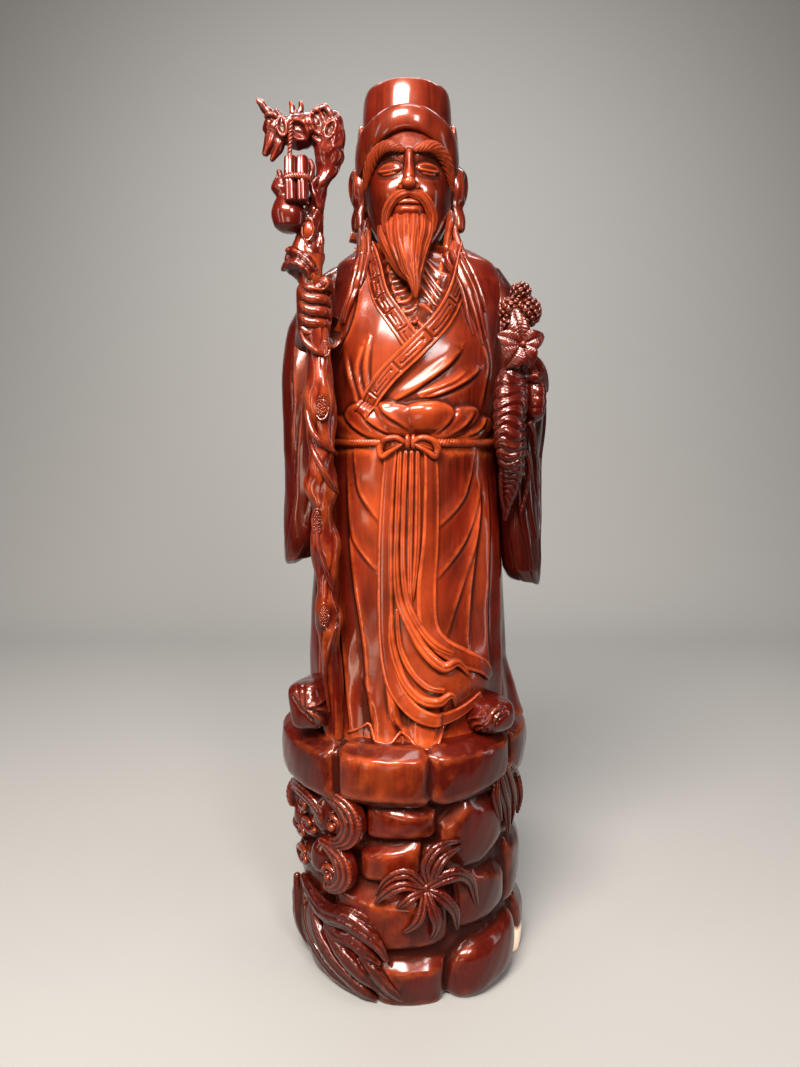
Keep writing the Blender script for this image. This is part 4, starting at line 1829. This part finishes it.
class Shade:
    """A socket of a material that Python's own signs can add, take away, multiply and divide."""

    def __init__(self, tree, socket=None):
        self.tree = tree
        self.socket = socket

    def node(self, kind, settings=None, inputs=None, output=0):
        """Any node: its settings first, then the values or links of its sockets."""
        made = self.tree.nodes.new(kind)
        for name, value in (settings or {}).items():
            setattr(made, name, value)
        for name, value in (inputs or {}).items():
            if isinstance(value, Shade):
                self.tree.links.new(value.socket, made.inputs[name])
            else:
                made.inputs[name].default_value = value
        return Shade(self.tree, made.outputs[output]) if len(made.outputs) else made

    def noise(self, place, scale, detail, rough, distortion=0.0):
        """Cloudy noise at a place, finer as its scale grows."""
        inputs = {"Vector": place, "Scale": scale, "Detail": detail, "Roughness": rough}
        return self.node("ShaderNodeTexNoise", {}, {**inputs, "Distortion": distortion})

    def stored(self, name):
        """A number kept on the vertices."""
        return self.node("ShaderNodeAttribute", {"attribute_name": name}, output="Fac")

    def sums(self, operation, first, second):
        return self.node("ShaderNodeMath", {"operation": operation}, {0: first, 1: second})

    def __add__(self, other):
        return self.sums("ADD", self, other)

    __radd__ = __add__

    def __sub__(self, other):
        return self.sums("SUBTRACT", self, other)

    def __rsub__(self, other):
        return self.sums("SUBTRACT", other, self)

    def __mul__(self, other):
        return self.sums("MULTIPLY", self, other)

    __rmul__ = __mul__

    def __truediv__(self, other):
        return self.sums("DIVIDE", self, other)

    def clamped(self, low, high):
        """0 where this is low, 1 where it is high."""
        inputs = {"Value": self, "From Min": low, "From Max": high}
        return self.node("ShaderNodeMapRange", {"clamp": True}, inputs)

    def kept(self, low, high):
        """This, but never below low or above high."""
        return self.sums("MINIMUM", self.sums("MAXIMUM", self, low), high)

    def mixed(self, first, second):
        """The first colour where this is 0, and the second where it is 1."""
        inputs = {0: self, 6: first, 7: second}
        return self.node("ShaderNodeMix", {"data_type": "RGBA"}, inputs, output=2)


print("shader sums ready")

# %% [markdown]
# ## Rosewood and lacquer
# Stained rosewood is deep red brown, nearly black in the cuts, and orange where the scraper left the wood
# thin of stain. Long dark grain runs up the log. The numbers stored on the vertices carry the stain: they
# darken hollows, lighten ridges and rubbed spots, and take the gloss off the beard. A clear coat lies over
# it all. Low at the right of the rocks a pale sliver of sapwood shows through.

# %% Rosewood
NEAR_BLACK = (0.006, 0.0004, 0.0004, 1)
DEEP_RED = (0.008, 0.0004, 0.0003, 1)
RED_BROWN = (0.036, 0.0009, 0.0005, 1)
ORANGE = (0.29, 0.044, 0.008, 1)
SAPWOOD = (0.74, 0.55, 0.40, 1)
SHEEN = (1, 0.23, 0.11, 1)
STREAK = (0.15, 0.010, 0.003, 1)


def rosewood_material():
    """Stain by masks, from the deepest colour to the thinnest, under a clear coat."""
    material = bpy.data.materials.new("rosewood_lacquer")
    material.use_nodes = True
    tree = material.node_tree
    tree.nodes.clear()
    shade = Shade(tree)
    place = shade.node("ShaderNodeTexCoord", output="Object")
    upright = shade.node("ShaderNodeMapping", {}, {"Vector": place, "Scale": (1, 1, 0.06)})
    hollow, ridge, thin, dull = (shade.stored(name) for name in ("hollow", "ridge", "thin", "dull"))
    growth = shade.noise(upright, 34, 4, 0.6, 0.2)
    grain = shade.noise(upright, 260, 5, 0.65, 0.3)
    pores = shade.noise(upright, 900, 2, 0.6)
    cloudy = shade.noise(place, 11, 3, 0.55)
    rub = shade.noise(place, 60, 3, 0.6)

    depth = hollow.clamped(0.0, 0.85)
    raised = (ridge * 2.0 + hollow * -0.08).clamped(0.10, 0.9)
    tone = (cloudy * 1.0 + growth * 0.2).clamped(0.48, 0.74)
    wood = tone.mixed(DEEP_RED, RED_BROWN)
    streak = (grain * 0.8 + growth * 0.3).clamped(0.42, 0.80)
    wood = (streak * 0.3).mixed(wood, STREAK)
    wood = (pores.clamped(0.60, 0.72) * 0.14).mixed(wood, NEAR_BLACK)
    scraped = raised * (0.12 + rub.clamped(0.35, 0.65) * 0.38)
    rubbed = (scraped + thin * (0.15 + tone * 0.6)).clamped(0, 1)
    wood = rubbed.mixed(wood, ORANGE)
    wood = thin.clamped(0.1, -0.75).mixed(wood, NEAR_BLACK)
    wood = (depth * 0.92).mixed(wood, NEAR_BLACK)

    across, forward, height = (
        shade.node("ShaderNodeSeparateXYZ", {}, {"Vector": place}, output=axis) for axis in "XYZ"
    )
    ragged = (growth - 0.5) * 0.05 + (cloudy - 0.5) * 0.04
    sliver = (across + ragged * 0.3).clamped(0.1245, 0.1265)
    sliver = sliver * (height + ragged * 0.9).clamped(0.040, 0.034)
    sliver = sliver * forward.clamped(-0.013, -0.018) * forward.clamped(-0.054, -0.048)
    sliver = sliver * (height + ragged * 0.5).clamped(0.002, 0.005)
    wood = sliver.mixed(wood, SAPWOOD)

    gloss = 0.30 + dull * 0.3 + grain * 0.08 + depth * 0.20 + rub * 0.08 + thin.clamped(0, 1) * 0.35
    varnish = 0.85 - thin * 0.9 - depth * 0.6 - dull
    height_map = grain * 0.2 + pores * 0.35 - growth * 0.15 + rub * 0.5
    relief = {"Strength": 0.11, "Distance": 0.0009, "Height": height_map}
    bump = shade.node("ShaderNodeBump", {}, relief, output="Normal")
    shader = shade.node("ShaderNodeBsdfPrincipled", {}, {
        "Base Color": wood, "Roughness": gloss, "Normal": bump, "Coat Weight": varnish.kept(0.1, 1),
        "Coat Roughness": 0.14, "Coat IOR": 1.33, "Specular IOR Level": 0.25, "Specular Tint": SHEEN,
    })
    shade.node("ShaderNodeOutputMaterial", {}, {"Surface": shader})
    return material


# %% [markdown]
# ## Dressing the pieces
# One log has one finish, so all the pieces share the material, and only their stored numbers differ.

# %% Dress the pieces
rosewood = rosewood_material()
for piece in pieces:
    piece.data.materials.clear()
    piece.data.materials.append(rosewood)
triangles = sum(len(piece.data.loops) - 2 * len(piece.data.polygons) for piece in pieces)
print(len(pieces), "pieces,", triangles, "triangles")

# %% [markdown]
# ## Floor
# A pale floor curves up into a backdrop without an edge. It ends a little in front of the figure, so the
# gloss there mirrors a dark room and stays deep, as polished wood does indoors. The first half of a grid
# lies flat, and the second half is bent up along a quarter of an oval.

# %% Floor
FLOOR_WIDTH, FLOOR_FRONT, FLOOR_REAR = 6, -0.46, 1.5
SWEEP_DEEP, SWEEP_HIGH = 1.4, 3.38
bm = bmesh.new()
made = bmesh.ops.create_grid(bm, x_segments=1, y_segments=40, size=0.5)["verts"]
for vertex in made:
    flat = min(2 * (vertex.co.y + 0.5), 1)
    sweep = max(2 * vertex.co.y, 0) * math.pi / 2
    y = FLOOR_FRONT + (FLOOR_REAR - FLOOR_FRONT) * flat + SWEEP_DEEP * math.sin(sweep)
    vertex.co = (FLOOR_WIDTH * vertex.co.x, y, SWEEP_HIGH * (1 - math.cos(sweep)))
bmesh.ops.recalc_face_normals(bm, faces=bm.faces)
floor_mesh = bpy.data.meshes.new("floor")
bm.to_mesh(floor_mesh)
bm.free()
floor_mesh.shade_smooth()
floor = bpy.data.objects.new("floor", floor_mesh)
bpy.context.collection.objects.link(floor)
pale = bpy.data.materials.new("pale_floor")
pale.use_nodes = True
pale_shader = pale.node_tree.nodes["Principled BSDF"]
pale_shader.inputs["Base Color"].default_value = (0.15, 0.146, 0.139, 1)
pale_shader.inputs["Roughness"].default_value = 0.9
floor_mesh.materials.append(pale)
print("floor", FLOOR_WIDTH, "m wide, from", FLOOR_FRONT, "to", FLOOR_REAR, "m before it rises")

# %% [markdown]
# ## Light
# Lacquer is judged by its highlights, so each light is there for one of them. A large key box stands at
# the upper left and a smaller one, like a window, at the right. Thin strips draw the edges of both sides,
# a warm strip and a low box reach the rocks, and two more light the top and the backdrop.

# %% Light


def soft_box(name, place, aim, size, power, colour=(1, 1, 1)):
    """A square area light that points at a spot."""
    data = bpy.data.lights.new(name, "AREA")
    data.shape = "RECTANGLE"
    data.size, data.size_y = size
    data.energy = power
    data.color = colour
    lamp = bpy.data.objects.new(name, data)
    away = np.array(place) - np.array(aim)
    flat = math.hypot(away[0], away[1])
    lamp.location = place
    lamp.rotation_euler = (math.atan2(flat, away[2]), 0, math.atan2(away[0], -away[1]))
    bpy.context.collection.objects.link(lamp)
    print(name, power, "W")


soft_box("key_box", (-0.4, -1.25, 1.75), (0, 0, 0.7), (0.85, 0.45), 172, (1, 0.94, 0.87))
soft_box("window_box", (0.45, -1.45, 1.35), (0, 0, 0.6), (0.3, 0.45), 36, (1, 0.93, 0.93))
soft_box("left_strip", (-1.3, -0.7, 0.9), (0, 0, 0.5), (0.12, 1.2), 5, (0.97, 0.98, 1))
soft_box("gold_strip", (-1.05, -1.3, 0.5), (0, 0, 0.5), (0.16, 0.9), 9, (1, 0.84, 0.62))
soft_box("right_strip", (1.4, -0.3, 0.75), (0, 0, 0.5), (0.14, 1.2), 4.5, (0.97, 0.98, 1))
soft_box("low_box", (-0.25, -1.7, 0.28), (0, 0, 0.35), (0.6, 0.35), 7, (1, 0.84, 0.66))
soft_box("top_box", (0.1, -0.5, 2.3), (0, 0, 0.7), (0.9, 0.5), 30, (1, 0.95, 0.90))
soft_box("backdrop_box", (0, 0.9, 2.6), (0, 2.6, 0.6), (2.4, 0.5), 105)
world = bpy.data.worlds.new("studio")
world.use_nodes = True
world.node_tree.nodes["Background"].inputs["Color"].default_value = (0.9, 0.92, 0.95, 1)
world.node_tree.nodes["Background"].inputs["Strength"].default_value = 0.012
bpy.context.scene.world = world
bpy.context.scene.view_settings.view_transform = "Standard"

# %% [markdown]
# ## Sizes
# The box of the dressed figure is set beside the box of its solids, which it may pass only by a little.

# %% Sizes and finish
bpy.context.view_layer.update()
